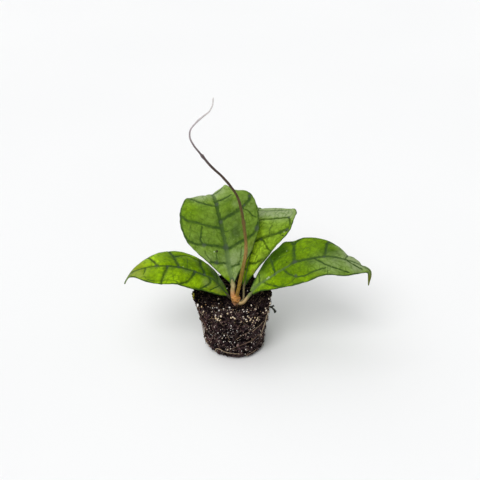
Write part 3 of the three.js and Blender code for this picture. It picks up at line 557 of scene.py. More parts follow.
def turned(places, angles):
    """The places turned about each axis in turn."""
    for (i, j), angle in zip(((1, 2), (0, 2), (0, 1)), angles):
        places, c, s = places.copy(), math.cos(angle), math.sin(angle)
        a, b = places[:, i].copy(), places[:, j].copy()
        places[:, i], places[:, j] = a * c - b * s, a * s + b * c
    return places


def grain(rng, base, size, flat, roughness=0.5):
    """An uneven grain: a ball stretched, dented by noise and turned at random."""
    places, faces = base
    off = Vector((rng.random() * 90, rng.random() * 90, rng.random() * 90))
    dents, facets = (np.array([noise.noise(Vector(p) * scale + off) for p in places]) for scale in (1.3, 3.1))
    stretched = places * (1 + roughness * dents + roughness * 0.5 * facets)[:, None]
    stretched = stretched * (size, size * rng.uniform(0.65, 1), size * flat)
    return turned(stretched, [rng.random() * 6.3 for _ in range(3)]), faces


class Look:
    """A procedural material and short ways to add nodes to it. Its colours are laid one over the other."""

    def __init__(self, name, roughness=0.6, specular=0.5):
        self.material = bpy.data.materials.new(name)
        self.material.use_nodes = True
        self.tree = self.material.node_tree
        self.shader = self.tree.nodes["Principled BSDF"]
        self.shader.inputs["Roughness"].default_value = roughness
        self.shader.inputs["Specular IOR Level"].default_value = specular
        self.colour = None

    def node(self, kind, inputs, out=0, **settings):
        made = self.tree.nodes.new("ShaderNode" + kind)
        for key, value in settings.items():
            setattr(made, key, value)
        for key, value in inputs.items():
            socket = made.inputs[key]
            if isinstance(value, bpy.types.NodeSocket):
                self.tree.links.new(value, socket)
            else:
                socket.default_value = (*value, 1) if socket.type == "RGBA" else value
        return made.outputs[out]

    def value(self, name):
        return self.node("Attribute", {}, out=2, attribute_name=name)

    def vector(self, name, scale=(1, 1, 1)):
        place = self.node("Attribute", {}, out=1, attribute_name=name)
        return self.node("Mapping", {"Vector": place, "Scale": scale})

    def place(self, scale=(1, 1, 1)):
        """The place in the object, in millimetres."""
        place = self.node("TexCoord", {}, out=3)
        return self.node("Mapping", {"Vector": place, "Scale": tuple(1000 * s for s in scale)})

    def noise(self, place, size, detail=3.0, roughness=0.5, distortion=0.0, out=0):
        """Noise from 0 to 1, with features of that size in millimetres."""
        inputs = {"Vector": place, "Scale": 1 / size, "Detail": detail, "Roughness": roughness}
        return self.node("TexNoise", inputs | {"Distortion": distortion}, out)

    def net(self):
        """The distance to the lines of a fine net, stretched along the side veins and bent by noise."""
        place = self.vector("run", (0.55, 0.8, 1))
        push = self.noise(place, 2.2, 2.0, out=1)
        centred = self.node("VectorMath", {0: push, 1: (0.5, 0.5, 0.5)}, operation="SUBTRACT")
        spread = self.node("VectorMath", {0: centred, "Scale": 1.8}, operation="SCALE")
        bent = self.node("VectorMath", {0: place, 1: spread}, operation="ADD")
        return self.cells(bent, 2.4, feature="DISTANCE_TO_EDGE")

    def cells(self, place, size, feature="F1", out=0):
        return self.node("TexVoronoi", {"Vector": place, "Scale": 1 / size}, out, feature=feature)

    def remap(self, value, low, high, to_low=0.0, to_high=1.0, kind="SMOOTHSTEP"):
        inputs = {"Value": value, "From Min": low, "From Max": high, "To Min": to_low, "To Max": to_high}
        return self.node("MapRange", inputs, interpolation_type=kind)

    def plus(self, one, other):
        return self.node("Math", {0: one, 1: other}, operation="ADD")

    def times(self, one, other):
        return self.node("Math", {0: one, 1: other}, operation="MULTIPLY")

    def blend(self, share, one, other, kind="MIX"):
        return self.node("Mix", {0: share, 6: one, 7: other}, out=2, data_type="RGBA", blend_type=kind)

    def paint(self, share, colour):
        """Lays a colour over the colour so far, by a share from 0 to 1."""
        self.colour = self.blend(share, self.colour, colour)

    def fade(self, value, low, high, strength, colour):
        """Lays a colour over the colour so far, from nothing at low to that strength at high."""
        value = self.value(value) if isinstance(value, str) else value
        self.paint(self.remap(value, low, high, 0, strength), colour)

    def shade(self, factor):
        self.colour = self.blend(1.0, self.colour, factor, kind="MULTIPLY")

    def ramp(self, share, *stops):
        """Starts with colours that run through the stops, each (share, colour)."""
        made = self.tree.nodes.new("ShaderNodeValToRGB")
        self.tree.links.new(share, made.inputs[0])
        marks = made.color_ramp.elements
        while len(marks) < len(stops):
            marks.new(0.5)
        for mark, (at, colour) in zip(marks, stops):
            mark.position = at
            mark.color = (*colour, 1)
        self.colour = made.outputs[0]

    def finish(self, roughness=None, height=None, bump=0.0):
        """Wires the colour, and if given the roughness and a height in millimetres, to the shader."""
        self.tree.links.new(self.colour, self.shader.inputs["Base Color"])
        if roughness is not None:
            self.tree.links.new(roughness, self.shader.inputs["Roughness"])
        if height is not None:
            inputs = {"Height": height, "Strength": 1.0, "Distance": bump * MM}
            self.tree.links.new(self.node("Bump", inputs), self.shader.inputs["Normal"])
        return self.material


PAINTED_LIGHT_LIME = (0.52, 0.8, 0.02)
BRIGHT_LIME = (0.36, 0.6, 0.008)
LIME = (0.185, 0.325, 0.002)
GREEN = (0.116, 0.222, 0.003)
SHADE_GREEN = (0.055, 0.12, 0.006)
DEEP_GREEN = (0.026, 0.072, 0.001)
SHEEN_AND_BLOOM_GREY = (0.29, 0.37, 0.17)
DULL_YELLOW = (0.26, 0.285, 0.02)
VEIN_GREEN = (0.03, 0.068, 0.014)
PALE_VEIN = (0.047, 0.092, 0.006)
KNOT_GREY = (0.062, 0.085, 0.06)
RIB_PALE = (0.15, 0.235, 0.075)
TIP_BROWN = (0.115, 0.12, 0.01)
SCAR_BLACK = (0.012, 0.01, 0.008)
FLECK_AND_GLINT_PALE = (0.5, 0.58, 0.36)
SPECK_PALE = (0.4, 0.5, 0.2)


def leaf_top():
    """The upper side: lime to deep green panels between dark veins, with painted shade and painted light in
    them, pale bloom and painted sheen, flecks and painted glints, and a dark rim.
    """
    look = Look("leaf top", specular=0.11)
    look.shader.inputs["Specular Tint"].default_value = (0.9, 1, 0.2, 1)
    flat = look.vector("flat")
    middle = look.noise(flat, 2.6, 5, 0.65)
    striped = look.noise(look.vector("run", (1.5, 0.22, 1)), 0.9, 4, 0.65)
    depth = look.plus(look.value("deep"), look.remap(look.noise(flat, 9, 2), 0.3, 0.7, -0.22, 0.3))
    look.colour = LIME
    # The brightest limes are partly painted light and the palest wholly, lifting the shadow one blade casts
    # on another. The deep green is partly painted shade.
    look.fade(depth, -0.2, -1.2, 1, BRIGHT_LIME)
    look.fade(depth, -1.2, -2.4, 1, PAINTED_LIGHT_LIME)
    look.fade(depth, -0.1, 0.5, 1, GREEN)
    look.fade(depth, 0.5, 1.35, 1, DEEP_GREEN)
    mottle = look.remap(middle, 0.32, 0.68, 0.74, 1.16)
    look.shade(look.times(mottle, look.remap(striped, 0.32, 0.68, 0.84, 1.14)))
    look.paint(look.times(look.value("yellow"), look.remap(middle, 0.25, 0.6, 0.6, 1.1)), DULL_YELLOW)
    # Painted sheen: grey-green where the pale patches say the skin catches the light, with some bloom.
    look.paint(look.times(look.value("pale"), look.remap(middle, 0.25, 0.7, 0.5, 1.15)), SHEEN_AND_BLOOM_GREY)
    patchy = look.remap(look.noise(flat, 5, 2), 0.35, 0.62)
    look.paint(look.times(look.remap(look.net(), 0.14, 0, 0, 0.6), patchy), SHADE_GREEN)

    wobble = look.remap(look.noise(flat, 1.1), 0.2, 0.8, -0.6, 0.5, kind="LINEAR")
    near, faint, rib = (look.plus(look.value(name), wobble) for name in ("vein", "faint", "midrib"))
    # Darker green next to the veins: partly the leaf's own colour, partly painted shade where the puffed
    # panels dip into the vein grooves.
    vein_halo_and_shade = look.remap(look.noise(flat, 1.8), 0.3, 0.65, 0.15, 0.6)
    look.paint(look.times(look.remap(near, 3.2, 1), vein_halo_and_shade), SHADE_GREEN)
    uneven = look.remap(look.noise(flat, 3.2, 2), 0.32, 0.6, 0.62, 1)
    vein_colour = look.blend(look.remap(depth, 0, -0.5), VEIN_GREEN, PALE_VEIN)
    look.paint(look.times(look.remap(faint, 1.9, 0.4, 0, 0.68), uneven), vein_colour)
    look.paint(look.times(look.remap(near, 1.8, 0.5, 0, 0.97), uneven), vein_colour)
    rib_colour = look.blend(look.value("rib_tone"), RIB_PALE, vein_colour)
    rib = look.times(look.remap(rib, 1.5, 0.5, 0, 0.92), look.remap(middle, 0.3, 0.6, 0.78, 1))
    look.paint(rib, rib_colour)

    look.fade("knots", 0.15, 0.9, 0.7, KNOT_GREY)
    rim = look.plus(look.value("edge"), look.remap(look.noise(flat, 7, 1), 0.35, 0.7, -0.2, 0.5))
    look.fade(rim, 1.1, 0.3, 0.9, VEIN_GREEN)
    look.paint(look.value("tail"), TIP_BROWN)
    look.fade("scars", 0.35, 0.6, 0.9, SCAR_BLACK)
    # Pale flecks, some of them painted glints, such as the lit lip under a scar.
    look.fade("flecks_and_glints", 0.45, 0.85, 0.7, FLECK_AND_GLINT_PALE)
    look.fade(look.cells(flat, 3.4), 0.075, 0.03, 0.4, SPECK_PALE)
    height = look.plus(look.times(striped, 0.6), look.plus(look.times(middle, 1.5), look.noise(flat, 0.55)))
    return look.finish(look.remap(middle, 0.3, 0.7, 0.38, 0.52), height, bump=0.12)


def leaf_under():
    """The underside: paler and duller, with green veins."""
    look = Look("leaf underside", specular=0.14)
    flat = look.vector("flat")
    middle = look.noise(flat, 3.5, 4, 0.6)
    look.colour = (0.2, 0.3, 0.05)
    look.fade(middle, 0.3, 0.75, 1, (0.13, 0.22, 0.03))
    look.fade(look.net(), 0.1, 0, 0.3, (0.08, 0.14, 0.025))
    look.fade("faint", 1.7, 0.4, 0.4, (0.07, 0.13, 0.03))
    look.fade("vein", 1.7, 0.5, 0.65, (0.06, 0.11, 0.03))
    look.fade("midrib", 1.4, 0.6, 0.6, (0.15, 0.19, 0.07))
    look.fade("edge", 0.75, 0.25, 0.6, VEIN_GREEN)
    look.paint(look.value("tail"), TIP_BROWN)
    return look.finish(look.remap(middle, 0.3, 0.7, 0.5, 0.62), look.noise(flat, 0.6), bump=0.07)


def petiole_bark():
    """A leaf stalk: tan with green and purple-grey, streaked lengthways."""
    look = Look("petiole skin", specular=0.2)
    place = look.place()
    streak = look.noise(look.vector("flat", (0.35, 1.6, 1)), 1, 4, 0.65)
    blotch = look.noise(place, 2.2)
    look.ramp(streak, (0.25, (0.25, 0.16, 0.06)), (0.5, (0.52, 0.38, 0.18)), (0.75, (0.7, 0.57, 0.34)))
    look.fade(blotch, 0.45, 0.75, 0.5, (0.3, 0.25, 0.07))
    look.paint(look.value("ruddy"), (0.6, 0.27, 0.1))
    look.paint(look.value("green"), (0.17, 0.2, 0.07))
    # Painted shade: a stalk that stands in shadow is darkened.
    look.paint(look.value("dark"), (0.03, 0.03, 0.014))
    roughness = look.remap(blotch, 0.3, 0.7, 0.42, 0.6)
    return look.finish(roughness, look.plus(streak, look.noise(place, 0.4)), bump=0.12)


def crown_bark():
    """The crown: orange-brown young wood with painted pale highlights and painted shade in its fine clefts.
    """
    look = Look("crown bark", specular=0.3)
    place = look.place()
    lumps = look.noise(place, 1.4, 5, 0.65)
    fine = look.noise(look.place((1, 1, 0.5)), 0.5, 4)
    # The palest stop is partly painted highlights on the knob.
    look.ramp(
        lumps, (0.3, (0.14, 0.05, 0.014)), (0.42, (0.42, 0.17, 0.04)), (0.56, (0.72, 0.34, 0.085)),
        (0.74, (0.85, 0.58, 0.28)),
    )
    # Painted shade in the fine clefts of the bark.
    look.fade(fine, 0.6, 0.4, 0.4, (0.16, 0.06, 0.02))
    pink = look.blend(look.remap(lumps, 0.35, 0.65), (0.25, 0.1, 0.065), (0.55, 0.28, 0.18))
    look.fade("height", 36.6, 35.2, 0.8, pink)
    # Painted highlights: pale cream spots.
    look.fade(look.cells(place, 1.3), 0.34, 0.2, 0.7, (0.75, 0.6, 0.42))
    look.fade("height", 34.6, 33, 0.85, (0.07, 0.04, 0.025))
    return look.finish(look.remap(lumps, 0.3, 0.7, 0.5, 0.75), look.plus(lumps, fine), bump=0.25)


def runner_bark():
    """The runner: olive-tan at the crown, red-brown along most of it, greyer and paler to the tip."""
    look = Look("runner skin", specular=0.2)
    look.ramp(
        look.value("along"),
        (0, (0.55, 0.22, 0.06)), (0.035, (0.33, 0.18, 0.035)), (0.07, (0.27, 0.17, 0.025)),
        (0.12, (0.23, 0.15, 0.015)), (0.17, (0.22, 0.15, 0.025)), (0.26, (0.33, 0.19, 0.055)),
        (0.32, (0.17, 0.108, 0.025)), (0.42, (0.11, 0.073, 0.017)), (0.52, (0.068, 0.042, 0.018)),
        (0.66, (0.075, 0.05, 0.042)), (0.735, (0.13, 0.1, 0.1)), (0.8, (0.3, 0.25, 0.26)),
        (0.88, (0.46, 0.41, 0.42)), (1, (0.66, 0.63, 0.61)),
    )
    streak = look.noise(look.vector("flat", (0.3, 1.8, 1)), 0.9, 4, 0.65)
    look.shade(look.remap(streak, 0.28, 0.72, 0.6, 1.35))
    dots = look.cells(look.vector("flat", (0.7, 1, 1)), 1.9)
    look.fade(dots, 0.12, 0.06, 0.35, (0.5, 0.4, 0.28))
    fine = look.noise(look.place(), 0.35)
    return look.finish(look.remap(fine, 0.3, 0.7, 0.45, 0.6), look.plus(streak, fine), bump=0.08)


def soil_look():
    """Potting mix: nearly black peat with red-brown fibre and paler crumbs, painted shade in its dips and
    under the leaves, and painted light on its raised clods.
    """
    look = Look("potting mix", specular=0.02)
    place = look.place()
    clods = look.noise(place, 2.6, 5, 0.7)
    look.ramp(
        clods, (0.32, (0.0015, 0.001, 0.0015)), (0.43, (0.026, 0.016, 0.019)), (0.56, (0.08, 0.047, 0.047)),
        (0.74, (0.17, 0.1, 0.092)),
    )
    fibre = look.noise(look.place((1.6, 1.6, 0.5)), 1.1, 4, 0.7, 1.5)
    look.fade(fibre, 0.54, 0.7, 0.45, (0.15, 0.078, 0.062))
    look.paint(look.times(look.value("warm"), look.remap(fibre, 0.4, 0.6, 0.2, 1)), (0.17, 0.08, 0.07))
    kind = look.cells(place, 0.55, out=1)
    pale = look.times(look.remap(look.cells(place, 0.55), 0.5, 0.28), look.remap(kind, 0.7, 0.82))
    look.paint(look.times(pale, 0.8), (0.44, 0.36, 0.345))
    look.fade(kind, 0.4, 0.22, 0.8, (0.004, 0.003, 0.005))
    # Painted light: the raised clods are made paler.
    look.fade("dip", 0.4, 1.1, 0.5, (0.13, 0.07, 0.055))
    # Painted shade: the dips between the clods are made nearly black.
    look.fade("dip", 0.15, -0.75, 0.93, (0.0015, 0.001, 0.0015))
    # Painted shadow of the leaves on the soil's top.
    painted_leaf_shadow = look.times(look.value("painted_leaf_shadow"), look.remap(fibre, 0.35, 0.65, 1, 0.55))
    look.paint(painted_leaf_shadow, (0.002, 0.0014, 0.002))
    height = look.plus(fibre, look.noise(place, 0.4, 4))
    return look.finish(look.remap(clods, 0.3, 0.7, 0.8, 0.95), height, bump=0.35)


def shaded_look(name, roughness, grain_size, bump, *stops, specular=0.3):
    """A look for a heap of pieces, whose colour follows each one's shade."""
    look = Look(name, roughness, specular)
    place = look.place()
    spots = look.noise(place, grain_size, 4, 0.6)
    look.ramp(look.plus(look.value("shade"), look.remap(spots, 0.3, 0.7, -0.12, 0.12)), *stops)
    look.fade(spots, 0.45, 0.3, 0.5, (0.05, 0.03, 0.02))
    return look.finish(None, look.noise(place, grain_size * 0.6), bump)


def by_half(leaf, across, key, curve, along):
    """A value that has its own curve along each half of a blade."""
    left, right = (curve(leaf[side][key], along) for side in ("left", "right"))
    return np.where(across < 0, left, right)


def half_widths(leaf, across, along):
    return by_half(leaf, across, "widths", through_stations, along)


def flattened(leaf, route, along, across):
    """Places in the flattened blade, in millimetres."""
    return np.stack([along * route.length, across * half_widths(leaf, across, along)], -1)


def bent_sheet(leaf, route, along, across, width):
    """Places on a blade's middle sheet, before its relief."""
    place, tangent = route.at(along), route.tangent(along)
    stations, *axes = np.array(leaf["face"]).T
    face = np.stack([np.interp(along, stations, axis) for axis in axes], -1)
    normal = normalised(face - (face * tangent).sum(-1, keepdims=True) * tangent)
    side = np.cross(tangent, normal)
    curl = np.where(across < 0, leaf["left"]["curl"], leaf["right"]["curl"])
    rise = by_half(leaf, across, "rise", of_three, along)
    slope = rise - curl * np.abs(across) * width
    out = (np.sin(rise) - np.sin(slope)) / curl
    lift = (np.cos(slope) - np.cos(rise)) / curl
    height, count, start = leaf["wave"]
    wave = np.sin(2 * math.pi * (count * along + start + across / 3))
    lift += height * across**2 * wave * np.sin(math.pi * along)
    for at, over, swell, radius in leaf["swells"]:
        middle = over * half_widths(leaf, np.array(over), np.array(at))
        far = np.hypot((along - at) * route.length, across * width - middle)
        lift += swell * hump(far, 0, radius)
    return place + (np.sign(across) * out)[..., None] * side + lift[..., None] * normal


def nearness(leaf, route, flat, veins):
    """How near each flattened place is to the veins: the least distance, and the least in half widths."""
    least, share = np.full((2, len(flat)), 99.0)
    for start, end, *points in leaf[veins]:
        line = flattened(leaf, route, *Route(points, steps=60).at(np.linspace(0, 1, 16)).T)
        count = len(line) - 1
        for k in range(count):
            a, way = line[k], line[k + 1] - line[k]
            t = np.clip(((flat - a) @ way) / max(way @ way, 1e-9), 0, 1)
            far = np.hypot(*(flat - a - t[:, None] * way).T)
            least = np.minimum(least, far)
            share = np.minimum(share, far / mix(start, end, (k + t) / count))
    return least, share


def rib_values(leaf, route, flat):
    """How far each place is from the drawn midrib, in millimetres and in half widths, and its darkness."""
    along, across, half, dark = np.array(leaf["rib"]).T
    share = np.clip(flat[:, 0] / route.length, 0, 1)
    aside = np.interp(share, along, across)
    far = np.abs(flat[:, 1] - aside * half_widths(leaf, aside, share))
    return far, far / np.interp(share, along, half), np.interp(share, along, dark)


def patches(leaf, route, flat, kind):
    """The sum of soft round patches at each flattened place."""
    total = np.zeros(len(flat))
    for along, across, radius, *strength in leaf[kind]:
        middle = flattened(leaf, route, np.array(along), np.array(across))
        far = ((flat - middle) ** 2).sum(1)
        total += (strength[0] if strength else 1) * np.exp(-far / radius**2)
    return total


def relief(flat, off, across, distances):
    """How far the panels puff up between the grooves of the veins, with some unevenness."""
    to_vein, to_rib, _ = distances
    inside = np.clip(1 - np.abs(across) ** 6, 0, 1)
    puff = PANEL_PUFF * (1 - hump(np.hypot(np.minimum(to_vein, to_rib), 0.3), 0, PUFF_REACH)) * inside
    groove = sum(depth * hump(far, 0, wide) for far, (depth, wide) in zip(distances, GROOVES))
    broad = np.array([noise.noise(Vector((x * 0.22, y * 0.22, 0)) + off) for x, y in flat])
    fine = np.array([noise.noise(Vector((x * 0.7, y * 0.7, 9)) + off) for x, y in flat])
    return puff - groove + BROAD_RIPPLE * broad * inside + FINE_RIPPLE * fine


def closed_sheet(top, under):
    """The mesh of a sheet's two sides, which share its rim, and the numbers of the places off the rim."""
    rows, columns = top.shape[:2]
    below = np.arange(rows * columns)
    inner = below.reshape(rows, columns)[1:-1, 1:-1].ravel()
    below[inner] = rows * columns + np.arange(len(inner))
    quads = grid_faces(rows, columns)
    # Each corner quad is cut through its corner, so that the two sides share no edge but the rim.
    corners = [0, columns - 2, len(quads) - 1, (rows - 2) * (columns - 1)]
    cut = [np.roll(quads[index], -place) for place, index in enumerate(corners)]
    halves = [quad[pick] for quad in cut for pick in ([0, 1, 2], [0, 2, 3])]
    upper = [*np.delete(quads, corners, axis=0)] + halves
    places = np.vstack([top.reshape(-1, 3), under.reshape(-1, 3)[inner]])
    return places, upper + [below[face][::-1] for face in upper], inner


def make_leaf(name, seed):
    leaf = LEAVES[name]
    route = Route(leaf["midrib"], steps=2000)
    half = np.concatenate([np.linspace(0, 0.9, HALF_STEPS), NEAR_MARGIN])
    steps = np.concatenate([NEAR_ENDS, np.linspace(0.006, 0.994, ALONG_STEPS), 1 - NEAR_ENDS[::-1]])
    along, across = np.meshgrid(steps, np.concatenate([-half[:0:-1], half]), indexing="ij")
    width = half_widths(leaf, across, along)
    width = width * (1 + 0.006 * np.sin(along * 41 + seed) + 0.004 * np.sin(along * 97 + 2 * seed + across))
    flat = np.stack([along * route.length, across * width], -1).reshape(-1, 2)
    off = Vector((seed * 7.7, seed * 3.1, seed * 5.3))
    wander = [noise.noise_vector(Vector((x, y, 4)) * 0.55 + off)[:2] for x, y in flat]
    strayed = flat + VEIN_WANDER * np.array(wander)
    to_vein, vein = nearness(leaf, route, strayed, "veins")
    to_faint, faint = nearness(leaf, route, strayed, "faint")
    to_rib, rib, rib_tone = rib_values(leaf, route, flat)

    sheet = bent_sheet(leaf, route, along, across, width)
    normal = normalised(np.cross(np.gradient(sheet, axis=1), np.gradient(sheet, axis=0)))
    raised = relief(flat, off, across.ravel(), (to_vein, to_rib, to_faint)).reshape(along.shape)
    edge = np.minimum((1 - np.abs(across)) * width, np.minimum(along, 1 - along) * route.length)
    rounding = np.sqrt(np.clip(1 - (1 - np.minimum(edge / RIM_ROUNDING, 1)) ** 2, 0, 1))
    body = mix(BLADE_THICKNESS, MARGIN_THICKNESS, np.abs(across) ** 3) / 2 * rounding
    keel = KEEL_DEPTH * (1 - along) * hump(across * width, 0, KEEL_WIDTH)
    keel = keel * np.minimum(1, along * route.length / KEEL_START)
    depth, wide = VEIN_RIDGE
    ridge = depth * hump(to_vein, 0, wide).reshape(along.shape) * rounding
    top = sheet + normal * (raised + body)[..., None]
    places, faces, inner = closed_sheet(top, sheet + normal * (raised - body - keel - ridge)[..., None])

    along, width = along.ravel(), width.ravel()
    seeds = np.full(len(flat), seed * 13.0)
    values = {
        "flat": np.column_stack([flat, seeds]),
        "run": np.column_stack([flat[:, 0] - VEIN_SLANT * np.abs(flat[:, 1]), flat[:, 1], seeds]),
        "rib_tone": rib_tone,
        # deep carries the tone and also painted shade and painted light; pale carries painted sheen and
        # bloom.
        "deep": leaf["tone"] + patches(leaf, route, flat, "deep"),
        "pale": leaf["bloom_and_sheen"] + patches(leaf, route, flat, "pale"),
        "tail": smooth_step(along, 0.86, 0.95) * smooth_step(width, 2.6, 1.4) * leaf["brown"],
    }
    rim = edge.ravel() + smooth_step(along, 0.9, 0.97)
    for key, far in (("vein", vein), ("faint", faint), ("midrib", rib), ("edge", rim)):
        values[key] = np.minimum(far, 9)
    for key in ("yellow", "flecks_and_glints", "scars", "knots"):
        values[key] = patches(leaf, route, flat, key)
    values = {key: np.concatenate([numbers, numbers[inner]]) for key, numbers in values.items()}
    kinds = np.repeat([0, 1], len(faces) // 2)
    looks = [LEAF_TOP, LEAF_UNDER]
    make_piece(f"leaf_{name}", places, faces, looks, values, [f"blade_{name}"], kinds)
    return route


def make_petiole(name, blade, seed):
    petiole = PETIOLES[name]
    thick, thin = petiole["radii"]
    start, way = blade.at(0), blade.tangent(0)
    joined = blade.at(petiole["reach"] / blade.length)
    route = Route([*petiole["points"], start - way * 1.5, start - way * 0.2, (start + joined) / 2, joined])
    taper = 1 - 2.8 / route.length

    def radius(along):
        swell = 0.12 * hump(along, taper, 0.09) + 0.1 * hump(along, 0, 0.12)
        return (mix(thick, thin, along) + swell) * mix(1, 0.55, smooth_step(along, taper, 1))

    def lump(along, turn):
        ribs = 0.035 * np.sin(5 * turn + seed) + 0.03 * np.sin(2 * turn + along * 9 + seed)
        return 1 + ribs + 0.025 * np.sin(along * 37 + 3 * turn)

    places, faces, share, turns = tube(route, radius, int(route.length / 0.16), 28, lump)
    green = 0.75 * smooth_step(share, 0.45, 1) + petiole["top_green"] * smooth_step(share, 0.45, 0.8)
    values = {
        "flat": np.column_stack([share * route.length, turns * 1.1, np.full(len(share), seed)]),
        "green": np.maximum(green, petiole["green"]),
        "dark": np.full(len(share), petiole["dark"]),
        "ruddy": petiole["ruddy"] * smooth_step(share, 0.6, 0.3),
    }
    make_piece(f"stalk_{name}", places, faces, [PETIOLE], values, [f"petiole_{name}"])


def make_crown():
    """The woody crown: a lumpy knob with bud scars, where the petioles and the runner come out."""
    rows, columns = 90, 72
    radius, height = Route(CROWN_PROFILE, steps=600).at(np.linspace(0, 1, rows)).T
    places = []
    for r, z in zip(radius, height):
        for angle in np.arange(columns) * 2 * math.pi / columns:
            lump = 1 + 0.07 * math.sin(3 * angle + z * 0.5) + 0.04 * math.sin(2 * angle - z * 1.1)
            x, y = r * lump * math.cos(angle), r * lump * math.sin(angle)
            place = Vector((x, y, z))
            bump = 0.5 * noise.noise(place * 0.8) + 0.2 * noise.noise(place * 2.1)
            bump += 0.06 * noise.noise(place * 6)
            for degrees, level, swell, reach in CROWN_LUMPS:
                turned_by = math.radians(degrees) - (angle + math.pi / 2)
                far = math.hypot(r * 2 * math.sin(turned_by / 2), z - level)
                bump += swell * math.exp(-((far / reach) ** 2))
            out = 1 + bump / max(r, 1.0)
            lean = CROWN_LEAN * (38 - z) / 11
            places.append((STEM_AXIS[0] + lean + x * out, STEM_AXIS[1] + y * out, z + 0.4 * bump))
    values = {"height": np.array(places)[:, 2]}
    make_piece("crown", places, capped_faces(rows, columns), [CROWN], values, ["crown_stem"])


def make_runner():
    """The bare vine, and two pairs of small bud scales at its nodes."""
    route = Route(RUNNER_PATH, steps=3000)

    def radius(along):
        swell = sum(out * hump(along, node, 0.009) for node, out in RUNNER_NODES)
        tip = np.sqrt(np.clip((1 - along) / 0.004, 0.04, 1))
        return (np.interp(along, *zip(*RUNNER_RADII)) + swell) * tip

    def lump(along, turn):
        ribs = 0.04 * np.sin(2 * turn + along * 55) + 0.03 * np.sin(3 * turn - along * 140)
        return 1 + ribs + 0.02 * np.sin(along * 400)

    places, faces, share, turns = tube(route, radius, 900, 20, lump)
    flat = np.column_stack([share * route.length, turns * 0.8, np.zeros(len(share))])
    values = {"along": share, "flat": flat}
    make_piece("vine", places, faces, [RUNNER], values, ["runner"])

    buds = Heap()
    for at, _ in RUNNER_NODES[:2]:
        place, way = route.at(at), route.tangent(at)
        side = normalised(np.cross(way, (0, -1, 0)))
        for sign, size in ((1, 1.0), (-1, 0.75)):
            foot = place + side * sign * 0.35
            tip = foot + (side * sign * 0.75 + way * 1.15) * size
            bud = Route([foot, (foot + tip) / 2 + side * sign * 0.12, tip])
            buds.add(tube(bud, pointed(0.38 * size), 14, 10), 0.4)
    buds.piece("node_buds", "runner", BUDS)


def plug_swell(turn, height):
    """How far the plug's side stands out at an angle from the front and a height."""
    broad = np.sin(3 * turn + height * 0.21) + np.sin(7 * turn - height * 0.33) + np.sin(13 * turn + height)
    sides = 0
    for middle, level, reach, out in SIDE_SWELLS:
        aside = (np.degrees(turn) - middle + 180) % 360 - 180
        sides = sides + out * np.exp(-((aside / 28) ** 2) - ((height - level) / reach) ** 2)
    return (LUMP_HEIGHT / 2 * broad + sides) * np.minimum(1, height / 6)


def plug_place(turn, radius, height):
    across = PLUG_LEAN * (height / PLUG_HEIGHT) ** 2 + radius * np.sin(turn)
    return np.stack([across, -radius * np.cos(turn), height + 0 * turn], -1)


def side_place(degrees, height, out=0.0):
    """A place on the plug's side at an angle from the front and a height."""
    turn = math.radians(degrees)
    side = np.array(PLUG_PROFILE[2:14])
    radius = np.interp(height, side[:, 1], side[:, 0])
    return plug_place(turn, radius + plug_swell(turn, height) + out, height)


def top_place(degrees, radius, up=0.0):
    """A place on the soil's top at an angle from the front and a distance from its middle."""
    top = np.array(PLUG_PROFILE[:12:-1])
    height = np.interp(radius, top[:, 0], top[:, 1])
    return plug_place(math.radians(degrees), radius, height + up)


def clods(place):
    """The height of the clods, crumbs and grit at a place on the soil."""
    clod = 0.75 * noise.noise(place * 0.17) + 0.6 * noise.noise(place * 0.42 + Vector((7, 3, 1)))
    crumb = 1.1 * (0.42 - noise.voronoi(place * 0.62)[0][0])
    return clod + crumb + 0.5 * (0.4 - noise.voronoi(place * 1.35)[0][0]) + 0.2 * noise.noise(place * 2.6)


